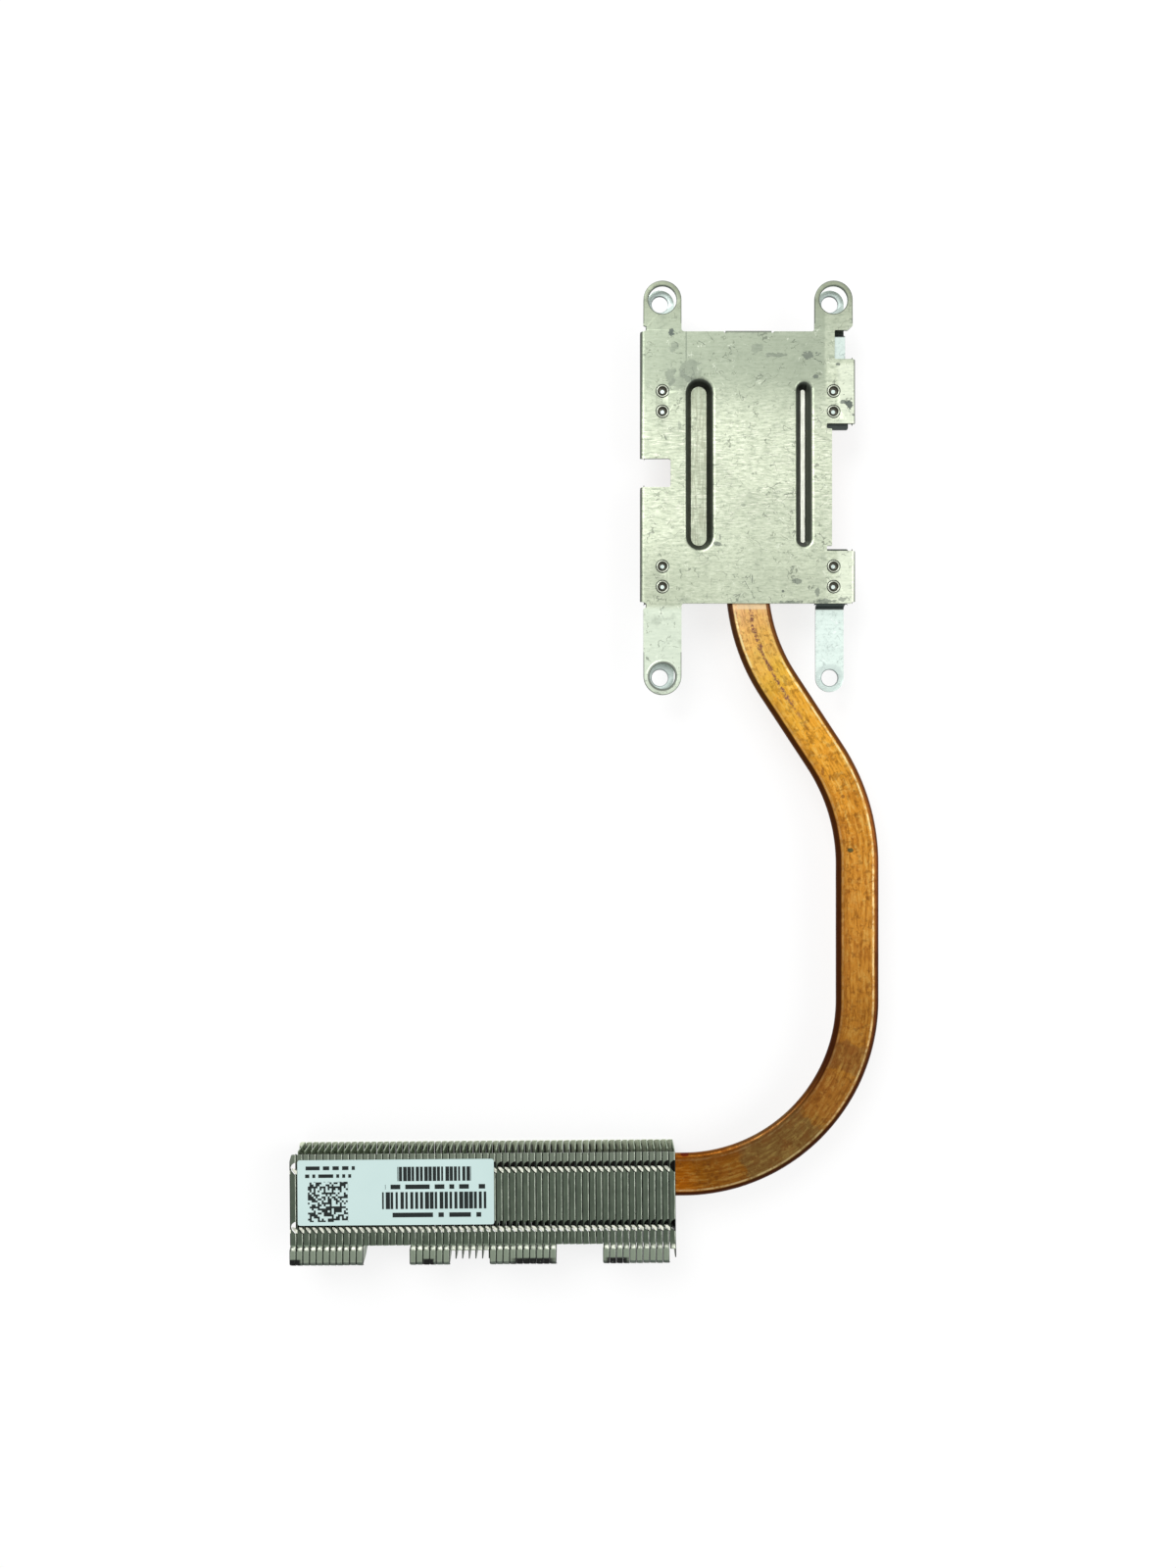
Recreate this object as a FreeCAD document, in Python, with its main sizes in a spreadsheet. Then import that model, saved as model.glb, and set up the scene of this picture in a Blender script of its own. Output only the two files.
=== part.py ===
import FreeCAD, Part
import math
import os

import Sketcher

# Cooler of a thin notebook: a copper contact block under a pressed cover plate,
# a flattened heat pipe, four riveted spring arms and a row of zipped sheet fins.
# Millimetres. Z is up, away from the processor. The origin is the point of the
# block's contact face that lies in line with the centre of the four screws.

os.makedirs("parts", exist_ok=True)
doc = FreeCAD.newDocument("notebook_cooler")

# Driving sizes

SIZES = {
    # screws of the board that the cooler bolts to
    "screw_spacing_x": 33.2,
    "screw_spacing_y": 73.0,
    "screw_hole_radius": 1.6,
    # copper contact block
    "base_thickness": 1.5,
    "base_width": 27.6,
    "base_length": 36.0,
    "base_shift_x": 1.2,
    "base_shift_y": 4.6,
    # heat pipe, a round tube pressed flat
    "pipe_round": 6.0,
    "pipe_thick": 1.9,
    "pipe_wall": 0.3,
    "pipe_side_flats": 4,
    "wick_width": 2.4,
    "pipe_end_gap": 0.2,
    "pipe_stop_short": 1.6,
    "bend_one_y": -28.7,
    "bend_two_y": -61.4,
    "run_x": 21.85,
    "bend_one_radius": 36.7,
    "bend_two_radius": 38.4,
    "bend_three_radius": 34.0,
    # pressed cover plate
    "sheet_thickness": 0.6,
    "cover_shift_x": 0.4,
    "cover_shift_y": 0.2,
    "cover_half_width": 20.9,
    "cover_top": 30.35,
    "cover_bottom": -22.4,
    "fold_radius": 0.8,
    "lip_height": 2.0,
    "ear_radius": 3.7,
    "ear_hole_radius": 2.75,
    "inner_corner": 0.5,
    "relief_width": 0.6,
    "relief_length": 1.0,
    "side_notch_top": 5.7,
    "side_notch_bottom": 0.15,
    "side_notch_depth": 5.9,
    "side_edge": 16.3,
    "tab_one_top": 25.0,
    "tab_one_bottom": 12.5,
    "tab_two_top": -12.2,
    "window_wall": 16.8,
    "window_top": 30.6,
    "ear_bevel": 0.9,
    "top_lip_left": -4.1,
    "top_lip_right": 5.9,
    "top_lip_reach": 0.3,
    # ribs pressed into the cover, down onto the block
    "rib_shift_y": 4.6,
    "rib_left_x": -9.3,
    "rib_left_width": 5.35,
    "rib_left_length": 33.4,
    "rib_right_x": 10.9,
    "rib_right_width": 3.15,
    "rib_right_length": 32.2,
    "rib_side_run": 1.05,
    # spring arms and their rivets
    "arm_thickness": 0.5,
    "arm_width": 5.5,
    "arm_drop": 1.6,
    "arm_step_run": 1.0,
    "arm_step_gap": 0.2,
    "arm_bend_radius": 0.7,
    "arm_base_width": 6.6,
    "arm_base_length": 10.8,
    "rivet_line": 17.0,
    "rivet_pitch": 3.95,
    "rivet_radius": 1.25,
    "rivet_bore_radius": 0.45,
    "rivet_stand_out": 0.1,
    "rivet_clearance": 0.05,
    "small_round_sides": 8,
    # row of fins
    "stack_x": -13.75,
    "stack_y": -128.6,
    "stack_turn": 0.45,
    "fin_pitch": 1.291,
    "fin_gap": 0.06,
    "fin_thickness": 0.2,
    "fin_height": 9.5,
    "fin_depth": 17.7,
    "pipe_inset": 4.75,
    "pipe_roof": 0.4,
    "pipe_clearance": 0.05,
    "ramp_run": 0.6,
    "ramp_rise": 0.6,
    "tab_side_gap": 0.2,
    "tab_length": 3.3,
    "tab_web_setback": 1.0,
    "tab_web_height": 8.6,
    "stub_length": 0.4,
    "zip_rear": 2.0,
    "zip_spacing": 11.2,
    "zip_length": 1.95,
    "zip_width": 0.62,
    "hook_offset": 0.75,
    "hook_length": 1.15,
    "hook_reach": 0.6,
    "hook_thickness": 0.15,
    "hook_lean": 0.12,
    # fins of each run, from the free end towards the pipe
    "long_outer_count": 11,
    "short_outer_count": 7,
    "long_second_count": 6,
    "bare_count": 6,
    "long_third_count": 10,
    "short_inner_count": 7,
    "long_inner_count": 10,
    "end_count": 1,
    # paper label on the fins
    "label_length": 38.1,
    "label_height": 12.7,
    "label_thickness": 0.1,
    "label_from_end": 1.6,
    "label_from_rear": 1.05,
}

sizes = doc.addObject("Spreadsheet::Sheet", "sizes")
for row_number, (size_name, size_value) in enumerate(SIZES.items(), 1):
    sizes.set(f"A{row_number}", size_name)
    sizes.set(f"B{row_number}", str(size_value))
    sizes.setAlias(f"B{row_number}", size_name)
doc.recompute()

# Sizes that follow from the driving ones, as expressions

PIPE_WIDTH = "(pi * (sizes.pipe_round - sizes.pipe_thick) / 2 + sizes.pipe_thick)"
PIPE_TOP = "(sizes.base_thickness + sizes.pipe_thick)"
PIPE_MIDDLE = "(sizes.base_thickness + sizes.pipe_thick / 2)"
STACK_TOP = f"({PIPE_TOP} + sizes.pipe_roof + sizes.fin_thickness)"
EAR_X = "(sizes.screw_spacing_x / 2)"
EAR_Y = "(sizes.screw_spacing_y / 2)"
FLAT_X = "(sizes.cover_half_width - sizes.fold_radius)"
FIN_WIDTH = "(sizes.fin_pitch - sizes.fin_gap)"


def value(expression):
    """The number that an expression gives with the sheet's sizes."""
    result = sizes.evalExpression(expression)
    return float(getattr(result, "Value", result))


# Sketch helpers

def origin_part(body, role):
    return next(item for item in body.Origin.OriginFeatures if item.Role == role)


def new_body(name):
    body = doc.addObject("PartDesign::Body", name)
    body.Label = name
    body.AllowCompound = True
    return body


def new_sketch(body, name, plane, offset="0"):
    sketch = body.newObject("Sketcher::SketchObject", f"{body.Name}_{name}_sketch")
    sketch.AttachmentSupport = (origin_part(body, plane), "")
    sketch.MapMode = "FlatFace"
    sketch.setExpression("AttachmentOffset.Base.z", offset)
    return sketch


def bind(sketch, constraint, expression):
    index = sketch.addConstraint(constraint)
    sketch.setExpression(f"Constraints[{index}]", expression)


def pin(sketch, item, end, across, up):
    """Hold one point of the sketch at two distances from the sketch's origin."""
    bind(sketch, Sketcher.Constraint("DistanceX", -1, 1, item, end, value(across)), across)
    bind(sketch, Sketcher.Constraint("DistanceY", -1, 1, item, end, value(up)), up)


def round_corner(before, corner, after, radius):
    """Where a corner's arc starts and ends, its arc, and whether it turns left."""
    inward = (corner - before).normalize()
    outward = (after - corner).normalize()
    trim = radius * math.tan(inward.getAngle(outward) / 2)
    start = corner - inward * trim
    end = corner + outward * trim
    left = inward.cross(outward).z > 0
    side = FreeCAD.Vector(0, 0, 1 if left else -1).cross(inward)
    circle = Part.Circle(start + side * radius, FreeCAD.Vector(0, 0, 1), radius)
    first, last = (start, end) if left else (end, start)
    arc = Part.ArcOfCircle(circle, circle.parameter(first), circle.parameter(last))
    return start, end, arc, left


def outline(sketch, corners, closed=True):
    """Straight sides through the corners; a corner that has a radius is rounded."""
    points = [FreeCAD.Vector(value(across), value(up), 0) for across, up, radius in corners]
    count = len(points)
    starts = list(points)
    ends = list(points)
    arcs = {}
    for index, (across, up, radius) in enumerate(corners):
        if radius:
            before = points[index - 1]
            after = points[(index + 1) % count]
            rounding = round_corner(before, points[index], after, value(radius))
            ends[index], starts[index] = rounding[0], rounding[1]
            arcs[index] = rounding[2:]
    sides = count if closed else count - 1
    lines = []
    for index in range(sides):
        line = Part.LineSegment(starts[index], ends[(index + 1) % count])
        lines.append(sketch.addGeometry(line, False))
    for index, (across, up, radius) in enumerate(corners):
        if not closed and index == count - 1:
            pin(sketch, lines[-1], 2, across, up)
        elif not radius:
            if closed or index > 0:
                joined = Sketcher.Constraint("Coincident", lines[index - 1], 2, lines[index], 1)
                sketch.addConstraint(joined)
            pin(sketch, lines[index], 1, across, up)
        else:
            arc, left = arcs[index]
            curve = sketch.addGeometry(arc, False)
            enter, leave = (1, 2) if left else (2, 1)
            sketch.addConstraint([
                Sketcher.Constraint("Tangent", lines[index - 1], 2, curve, enter),
                Sketcher.Constraint("Tangent", curve, leave, lines[index], 1),
            ])
            bind(sketch, Sketcher.Constraint("Radius", curve, value(radius)), radius)
            mark = sketch.addGeometry(Part.Point(points[index]), True)
            pin(sketch, mark, 1, across, up)
            sketch.addConstraint([
                Sketcher.Constraint("PointOnObject", mark, 1, lines[index - 1]),
                Sketcher.Constraint("PointOnObject", mark, 1, lines[index]),
            ])


def circles(sketch, centres, radius):
    for across, up in centres:
        centre = FreeCAD.Vector(value(across), value(up), 0)
        ring = Part.Circle(centre, FreeCAD.Vector(0, 0, 1), value(radius))
        item = sketch.addGeometry(ring, False)
        pin(sketch, item, 3, across, up)
        bind(sketch, Sketcher.Constraint("Radius", item, value(radius)), radius)


def few_sided(sketch, centres, radius):
    """Small rounds drawn with a few straight sides, since there are many of them."""
    sides = round(value("sizes.small_round_sides"))
    for across, up in centres:
        corners = []
        for step in range(sides):
            angle = f"360 * {step} / sizes.small_round_sides"
            corner = (f"{across} + {radius} * cos({angle})", f"{up} + {radius} * sin({angle})")
            corners.append((*corner, None))
        outline(sketch, corners)


def long_hole(sketch, across, up, width, height):
    """A shape with two round ends, longer along its height or along its width."""
    upright = value(height) > value(width)
    narrow, wide = (width, height) if upright else (height, width)
    radius = f"({narrow}) / 2"
    reach = f"(({wide}) - ({narrow})) / 2"
    if upright:
        centres = [(across, f"{up} - {reach}"), (across, f"{up} + {reach}")]
        first_angle = math.pi
    else:
        centres = [(f"{across} + {reach}", up), (f"{across} - {reach}", up)]
        first_angle = 3 * math.pi / 2
    ends = []
    arcs = []
    for turn, (centre_across, centre_up) in enumerate(centres):
        centre = FreeCAD.Vector(value(centre_across), value(centre_up), 0)
        circle = Part.Circle(centre, FreeCAD.Vector(0, 0, 1), value(radius))
        from_angle = first_angle + math.pi * turn
        arc = Part.ArcOfCircle(circle, from_angle, from_angle + math.pi)
        arcs.append(sketch.addGeometry(arc, False))
        ends.append((arc.StartPoint, arc.EndPoint))
        pin(sketch, arcs[-1], 3, centre_across, centre_up)
        bind(sketch, Sketcher.Constraint("Radius", arcs[-1], value(radius)), radius)
    first_side = sketch.addGeometry(Part.LineSegment(ends[0][1], ends[1][0]), False)
    second_side = sketch.addGeometry(Part.LineSegment(ends[1][1], ends[0][0]), False)
    sketch.addConstraint([
        Sketcher.Constraint("Tangent", arcs[0], 2, first_side, 1),
        Sketcher.Constraint("Tangent", first_side, 2, arcs[1], 1),
        Sketcher.Constraint("Tangent", arcs[1], 2, second_side, 1),
        Sketcher.Constraint("Tangent", second_side, 2, arcs[0], 1),
    ])


# Feature helpers

def add_feature(body, kind, name, profile, refine=True):
    feature = body.newObject(f"PartDesign::{kind}", f"{body.Name}_{name}")
    feature.Profile = profile
    feature.Refine = refine
    return feature


def pad(body, name, sketch, length, both_ways=False):
    feature = add_feature(body, "Pad", name, sketch)
    feature.setExpression("Length", length)
    if both_ways:
        feature.SideType = "Symmetric"
    return feature


def pocket(body, name, sketch, depth, both_ways=False):
    feature = add_feature(body, "Pocket", name, sketch)
    feature.setExpression("Length", depth)
    if both_ways:
        feature.SideType = "Symmetric"
    return feature


def loft(body, kind, name, first, last):
    feature = add_feature(body, kind, name, first)
    feature.Sections = [last]
    feature.Ruled = True
    return feature


def pattern(body, name, direction, spacing, copies, originals=None):
    """Copies of the whole shape, or of the features named, along an origin axis."""
    doc.recompute()
    feature = body.newObject("PartDesign::LinearPattern", f"{body.Name}_{name}")
    feature.Originals = originals or []
    feature.TransformMode = "Features" if originals else "Whole shape"
    feature.Direction = (origin_part(body, direction), [""])
    feature.Mode = "Spacing"
    feature.setExpression("Offset", spacing)
    feature.setExpression("Occurrences", copies)
    feature.Refine = bool(originals)
    body.Tip = feature
    return feature


def place(body, across, along, up, turn="0"):
    body.setExpression("Placement.Base.x", across)
    body.setExpression("Placement.Base.y", along)
    body.setExpression("Placement.Base.z", up)
    body.setExpression("Placement.Rotation.Angle", turn)


# Copper contact block

def make_base_block():
    body = new_body("base_block")
    sketch = new_sketch(body, "outline", "XY_Plane")
    half_x = "sizes.base_width / 2"
    half_y = "sizes.base_length / 2"
    outline(sketch, [
        (f"-{half_x}", f"-{half_y}", None),
        (half_x, f"-{half_y}", None),
        (half_x, half_y, None),
        (f"-{half_x}", half_y, None),
    ])
    pad(body, "plate", sketch, "sizes.base_thickness")
    place(body, "sizes.base_shift_x", "sizes.base_shift_y", "0")
    return body


# Heat pipe: its route, its tube and the wick inside

COVER_TOP_FACE = "(sizes.cover_shift_y + sizes.cover_top + sizes.top_lip_reach)"
PIPE_START = f"({COVER_TOP_FACE} - sizes.sheet_thickness - sizes.pipe_end_gap)"
ROW_COUNT = (
    "(sizes.long_outer_count + sizes.short_outer_count + sizes.long_second_count"
    " + sizes.bare_count + sizes.long_third_count + sizes.short_inner_count"
    " + sizes.long_inner_count + sizes.end_count)"
)
ROW_LENGTH = f"({ROW_COUNT} * sizes.fin_pitch)"


def along_stack(distance):
    """X and Y of the pipe's centre line, so far into the row from its pipe end."""
    across = "sizes.stack_x + sizes.pipe_inset * sin(sizes.stack_turn)"
    along = "sizes.stack_y - sizes.pipe_inset * cos(sizes.stack_turn)"
    return (
        f"{across} - ({distance}) * cos(sizes.stack_turn)",
        f"{along} - ({distance}) * sin(sizes.stack_turn)",
    )


def draw_route(sketch, end_cut):
    """The pipe's centre line, shortened at both ends by end_cut."""
    entry_x, entry_y = along_stack("0")
    far_x, far_y = along_stack(f"{ROW_LENGTH} - sizes.pipe_stop_short - {end_cut}")
    turn_y = f"{entry_y} + (sizes.run_x - ({entry_x})) * tan(sizes.stack_turn)"
    outline(sketch, [
        ("sizes.cover_shift_x", f"{PIPE_START} - {end_cut}", None),
        ("sizes.cover_shift_x", "sizes.bend_one_y", "sizes.bend_one_radius"),
        ("sizes.run_x", "sizes.bend_two_y", "sizes.bend_two_radius"),
        ("sizes.run_x", turn_y, "sizes.bend_three_radius"),
        (far_x, far_y, None),
    ], closed=False)


def flat_section(sketch, width, height):
    """A plain strip across the route."""
    left = f"sizes.cover_shift_x - {width} / 2"
    right = f"sizes.cover_shift_x + {width} / 2"
    half = f"({height}) / 2"
    outline(sketch, [
        (left, f"-{half}", None),
        (right, f"-{half}", None),
        (right, half, None),
        (left, half, None),
    ])


def pressed_section(sketch, width, height):
    """The pressed tube's section; each round side is a few narrow flats."""
    flats = round(value("sizes.pipe_side_flats"))
    reach = f"({width} - {height}) / 2"
    corners = []
    for side, first_angle in ((1, -90), (-1, 90)):
        for step in range(flats + 1):
            angle = f"{first_angle} + 180 * {step} / sizes.pipe_side_flats"
            across = f"sizes.cover_shift_x + {side} * {reach} + {height} / 2 * cos({angle})"
            corners.append((across, f"{height} / 2 * sin({angle})", None))
    outline(sketch, corners)


def sweep_route(body, kind, name, end_cut, draw_section, width, height):
    route = new_sketch(body, f"{name}_route", "XY_Plane")
    draw_route(route, end_cut)
    section = new_sketch(body, f"{name}_section", "XZ_Plane", f"{end_cut} - {PIPE_START}")
    draw_section(section, width, height)
    feature = add_feature(body, kind, name, section)
    feature.Spine = (route, [])
    return feature


INNER_HEIGHT = "(sizes.pipe_thick - 2 * sizes.pipe_wall)"


def make_heat_pipe():
    body = new_body("heat_pipe")
    thick = "sizes.pipe_thick"
    sweep_route(body, "AdditivePipe", "tube", "0", pressed_section, PIPE_WIDTH, thick)
    flat_width = f"({PIPE_WIDTH} - sizes.pipe_thick)"
    wall = "sizes.pipe_wall"
    sweep_route(body, "SubtractivePipe", "bore", wall, flat_section, flat_width, INNER_HEIGHT)
    place(body, "0", "0", PIPE_MIDDLE)
    return body


def make_wick():
    body = new_body("pipe_wick")
    wall = "sizes.pipe_wall"
    wide = "sizes.wick_width"
    sweep_route(body, "AdditivePipe", "strip", wall, flat_section, wide, INNER_HEIGHT)
    place(body, "0", "0", PIPE_MIDDLE)
    return body


# Cover plate

def cover_corners():
    """The flat blank, from the foot of the lower left leg round to the right."""
    left_ear_out = f"-{EAR_X} - sizes.ear_radius"
    left_ear_in = f"-{EAR_X} + sizes.ear_radius"
    right_ear_in = f"{EAR_X} - sizes.ear_radius"
    right_ear_out = f"{EAR_X} + sizes.ear_radius"
    left_relief = f"-{EAR_X} - sizes.ear_radius + sizes.relief_width"
    lower_relief = "sizes.cover_bottom - sizes.relief_length"
    upper_relief = "sizes.cover_top + sizes.relief_length"
    side_relief = "sizes.side_edge - sizes.relief_length"
    notch_wall = "sizes.side_notch_depth - sizes.cover_half_width"
    top_step = "sizes.cover_top + sizes.top_lip_reach - sizes.fold_radius"
    lip_from = "sizes.top_lip_left - sizes.relief_width"
    lip_to = "sizes.top_lip_right + sizes.relief_width"
    inner = "sizes.inner_corner"
    return [
        (left_ear_out, f"-{EAR_Y}", None),
        (left_ear_in, f"-{EAR_Y}", None),
        (left_ear_in, "sizes.cover_bottom", inner),
        (FLAT_X, "sizes.cover_bottom", inner),
        (FLAT_X, "sizes.tab_two_top", None),
        (side_relief, "sizes.tab_two_top", None),
        (side_relief, "sizes.tab_two_top + sizes.relief_length", None),
        ("sizes.side_edge", "sizes.tab_two_top + sizes.relief_length", None),
        ("sizes.side_edge", "sizes.tab_one_bottom - sizes.relief_length", None),
        (side_relief, "sizes.tab_one_bottom - sizes.relief_length", None),
        (side_relief, "sizes.tab_one_bottom", None),
        (FLAT_X, "sizes.tab_one_bottom", None),
        (FLAT_X, "sizes.tab_one_top", None),
        ("sizes.window_wall", "sizes.tab_one_top", None),
        ("sizes.window_wall", "sizes.window_top", None),
        (f"{right_ear_out} - sizes.ear_bevel", "sizes.window_top", None),
        (right_ear_out, "sizes.window_top + sizes.ear_bevel", None),
        (right_ear_out, EAR_Y, None),
        (right_ear_in, EAR_Y, None),
        (right_ear_in, "sizes.cover_top", inner),
        (lip_to, "sizes.cover_top", None),
        (lip_to, top_step, None),
        (lip_from, top_step, None),
        (lip_from, "sizes.cover_top", None),
        (left_ear_in, "sizes.cover_top", inner),
        (left_ear_in, EAR_Y, None),
        (left_ear_out, EAR_Y, None),
        (left_ear_out, upper_relief, None),
        (left_relief, upper_relief, None),
        (left_relief, "sizes.cover_top", None),
        (f"-{FLAT_X}", "sizes.cover_top", None),
        (f"-{FLAT_X}", "sizes.side_notch_top", None),
        (notch_wall, "sizes.side_notch_top", inner),
        (notch_wall, "sizes.side_notch_bottom", inner),
        (f"-{FLAT_X}", "sizes.side_notch_bottom", None),
        (f"-{FLAT_X}", "sizes.cover_bottom", None),
        (left_relief, "sizes.cover_bottom", None),
        (left_relief, lower_relief, None),
        (left_ear_out, lower_relief, None),
    ]


def lip_corners(side, flat, face):
    """Section of a lip, rounded outside its bend; side is 1 or -1, flat and face its ends."""
    sheet = "sizes.sheet_thickness"
    inside = f"{side} * ({face} - {sheet})"
    flat_end = f"{side} * ({flat} - {sheet})"
    return [
        (flat_end, sheet, None),
        (f"{side} * {face}", sheet, "sizes.fold_radius"),
        (f"{side} * {face}", f"{sheet} - sizes.lip_height", None),
        (inside, f"{sheet} - sizes.lip_height", None),
        (inside, "0", None),
        (flat_end, "0", None),
    ]


def add_side_lip(body, name, side, from_y, to_y):
    sketch = new_sketch(body, name, "XZ_Plane", f"-({from_y})")
    outline(sketch, lip_corners(side, FLAT_X, "sizes.cover_half_width"))
    pad(body, name, sketch, f"({from_y}) - ({to_y})")


def add_top_lip(body):
    face = "(sizes.cover_top + sizes.top_lip_reach)"
    flat = "(sizes.cover_top + sizes.top_lip_reach - sizes.fold_radius)"
    sketch = new_sketch(body, "top_lip", "YZ_Plane", "sizes.top_lip_left")
    outline(sketch, lip_corners(1, flat, face))
    pad(body, "top_lip", sketch, "sizes.top_lip_right - sizes.top_lip_left")


def add_rib(body, name, centre_x, width, length):
    """A rib pressed down by the pipe's thickness, its walls as thick as the sheet."""
    sheet = "sizes.sheet_thickness"
    drop = "sizes.pipe_thick"
    run = "sizes.rib_side_run"
    slope = f"({run} / {drop})"
    wall = f"({sheet} * sqrt(1 + {slope} ^ 2))"
    grow = f"2 * ({wall} - {slope} * {sheet})"
    centre = (centre_x, "sizes.rib_shift_y")
    under = new_sketch(body, f"{name}_under", "XY_Plane")
    long_hole(under, *centre, f"{width} + {grow}", f"{length} + {grow}")
    foot = new_sketch(body, f"{name}_foot", "XY_Plane", f"-{drop}")
    long_hole(foot, *centre, f"{width} + {grow} - 2 * {run}", f"{length} + {grow} - 2 * {run}")
    loft(body, "AdditiveLoft", f"{name}_bulge", under, foot)
    mouth = new_sketch(body, f"{name}_mouth", "XY_Plane", sheet)
    long_hole(mouth, *centre, width, length)
    floor = new_sketch(body, f"{name}_floor", "XY_Plane", f"{sheet} - {drop}")
    long_hole(floor, *centre, f"{width} - 2 * {run}", f"{length} - 2 * {run}")
    loft(body, "SubtractiveLoft", f"{name}_hollow", mouth, floor)


def rivet_centres():
    """The eight rivet places on the cover, seen from its own centre."""
    centres = []
    for side in (-1, 1):
        for end in (-1, 1):
            for step in (-1, 1):
                along = (
                    f"{end} * sizes.rivet_line + {step} * sizes.rivet_pitch / 2"
                    " - sizes.cover_shift_y"
                )
                centres.append((f"{side} * {EAR_X}", along))
    return centres


def make_cover():
    body = new_body("cover_plate")
    sheet = "sizes.sheet_thickness"
    blank = new_sketch(body, "blank", "XY_Plane")
    outline(blank, cover_corners())
    pad(body, "blank", blank, sheet)
    ears = [(f"-{EAR_X}", EAR_Y), (EAR_X, EAR_Y), (f"-{EAR_X}", f"-{EAR_Y}")]
    rounds = new_sketch(body, "ear_rounds", "XY_Plane")
    circles(rounds, ears, "sizes.ear_radius")
    pad(body, "ear_rounds", rounds, sheet)
    relief = "sizes.relief_width / 2"
    add_side_lip(body, "left_upper_lip", -1, "sizes.cover_top", "sizes.side_notch_top")
    lower_end = f"sizes.cover_bottom + {relief}"
    add_side_lip(body, "left_lower_lip", -1, "sizes.side_notch_bottom", lower_end)
    tab_one_from = f"sizes.tab_one_top - {relief}"
    tab_one_to = f"sizes.tab_one_bottom + {relief}"
    add_side_lip(body, "tab_one_lip", 1, tab_one_from, tab_one_to)
    tab_two_from = f"sizes.tab_two_top - {relief}"
    tab_two_to = f"sizes.cover_bottom + {relief}"
    add_side_lip(body, "tab_two_lip", 1, tab_two_from, tab_two_to)
    add_top_lip(body)
    for name in ("left", "right"):
        rib = f"sizes.rib_{name}"
        add_rib(body, f"{name}_rib", f"{rib}_x", f"{rib}_width", f"{rib}_length")
    ear_holes = new_sketch(body, "ear_holes", "XY_Plane")
    circles(ear_holes, ears, "sizes.ear_hole_radius")
    pocket(body, "ear_holes", ear_holes, f"4 * {sheet}", both_ways=True)
    shanks = new_sketch(body, "rivet_holes", "XY_Plane")
    few_sided(shanks, rivet_centres(), "(sizes.rivet_radius + sizes.rivet_clearance)")
    pocket(body, "rivet_holes", shanks, f"4 * {sheet}", both_ways=True)
    place(body, "sizes.cover_shift_x", "sizes.cover_shift_y", PIPE_TOP)
    return body


# Spring arms under the cover, one at each screw

def make_arm(name, side, end):
    """side is 1 on the right, end is 1 at the top; the arm steps down past the cover."""
    body = new_body(name)
    thick = "sizes.arm_thickness"
    edge = "sizes.cover_top" if end > 0 else "-sizes.cover_bottom"
    step = f"({edge} + {end} * sizes.cover_shift_y + sizes.arm_step_gap)"
    if end > 0:
        step = f"({step} - sizes.arm_step_gap - sizes.arm_step_run)"
    hole_y = "sizes.screw_spacing_y / 2"
    base_end = "sizes.rivet_line - sizes.arm_base_length / 2"
    mitre = f"{thick} * tan(atan(sizes.arm_drop / sizes.arm_step_run) / 2)"
    low = "-sizes.arm_drop"
    bend = "sizes.arm_bend_radius"
    strip = new_sketch(body, "strip", "YZ_Plane")
    outline(strip, [
        (f"{end} * ({base_end})", "0", None),
        (f"{end} * {step}", "0", bend),
        (f"{end} * ({step} + sizes.arm_step_run)", low, None),
        (f"{end} * {hole_y}", low, None),
        (f"{end} * {hole_y}", f"{low} - {thick}", None),
        (f"{end} * ({step} + sizes.arm_step_run - {mitre})", f"{low} - {thick}", bend),
        (f"{end} * ({step} - {mitre})", f"-{thick}", None),
        (f"{end} * ({base_end})", f"-{thick}", None),
    ])
    pad(body, "strip", strip, "sizes.arm_width", both_ways=True)
    shift = f"(sizes.cover_shift_x + {side} * {EAR_X} - {side} * sizes.screw_spacing_x / 2)"
    half = "sizes.arm_base_width / 2"
    far_end = "sizes.rivet_line + sizes.arm_base_length / 2"
    wing = new_sketch(body, "wing", "XY_Plane", f"-{thick}")
    outline(wing, [
        (f"{shift} - {half}", f"{end} * ({base_end})", None),
        (f"{shift} + {half}", f"{end} * ({base_end})", None),
        (f"{shift} + {half}", f"{end} * ({far_end})", None),
        (f"{shift} - {half}", f"{end} * ({far_end})", None),
    ])
    pad(body, "wing", wing, thick)
    tip = new_sketch(body, "tip", "XY_Plane", f"{low} - {thick}")
    circles(tip, [("0", f"{end} * {hole_y}")], "sizes.arm_width / 2")
    pad(body, "tip", tip, thick)
    screw = new_sketch(body, "screw_hole", "XY_Plane", low)
    circles(screw, [("0", f"{end} * {hole_y}")], "sizes.screw_hole_radius")
    pocket(body, "screw_hole", screw, f"4 * {thick}", both_ways=True)
    rivets = new_sketch(body, "rivet_holes", "XY_Plane")
    places = [
        (shift, f"{end} * sizes.rivet_line + {step_way} * sizes.rivet_pitch / 2")
        for step_way in (-1, 1)
    ]
    few_sided(rivets, places, "(sizes.rivet_radius + sizes.rivet_clearance)")
    pocket(body, "rivet_holes", rivets, f"4 * {thick}", both_ways=True)
    place(body, f"{side} * sizes.screw_spacing_x / 2", "0", PIPE_TOP)
    return body


# Hollow rivets, a pair through the cover and each arm

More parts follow.
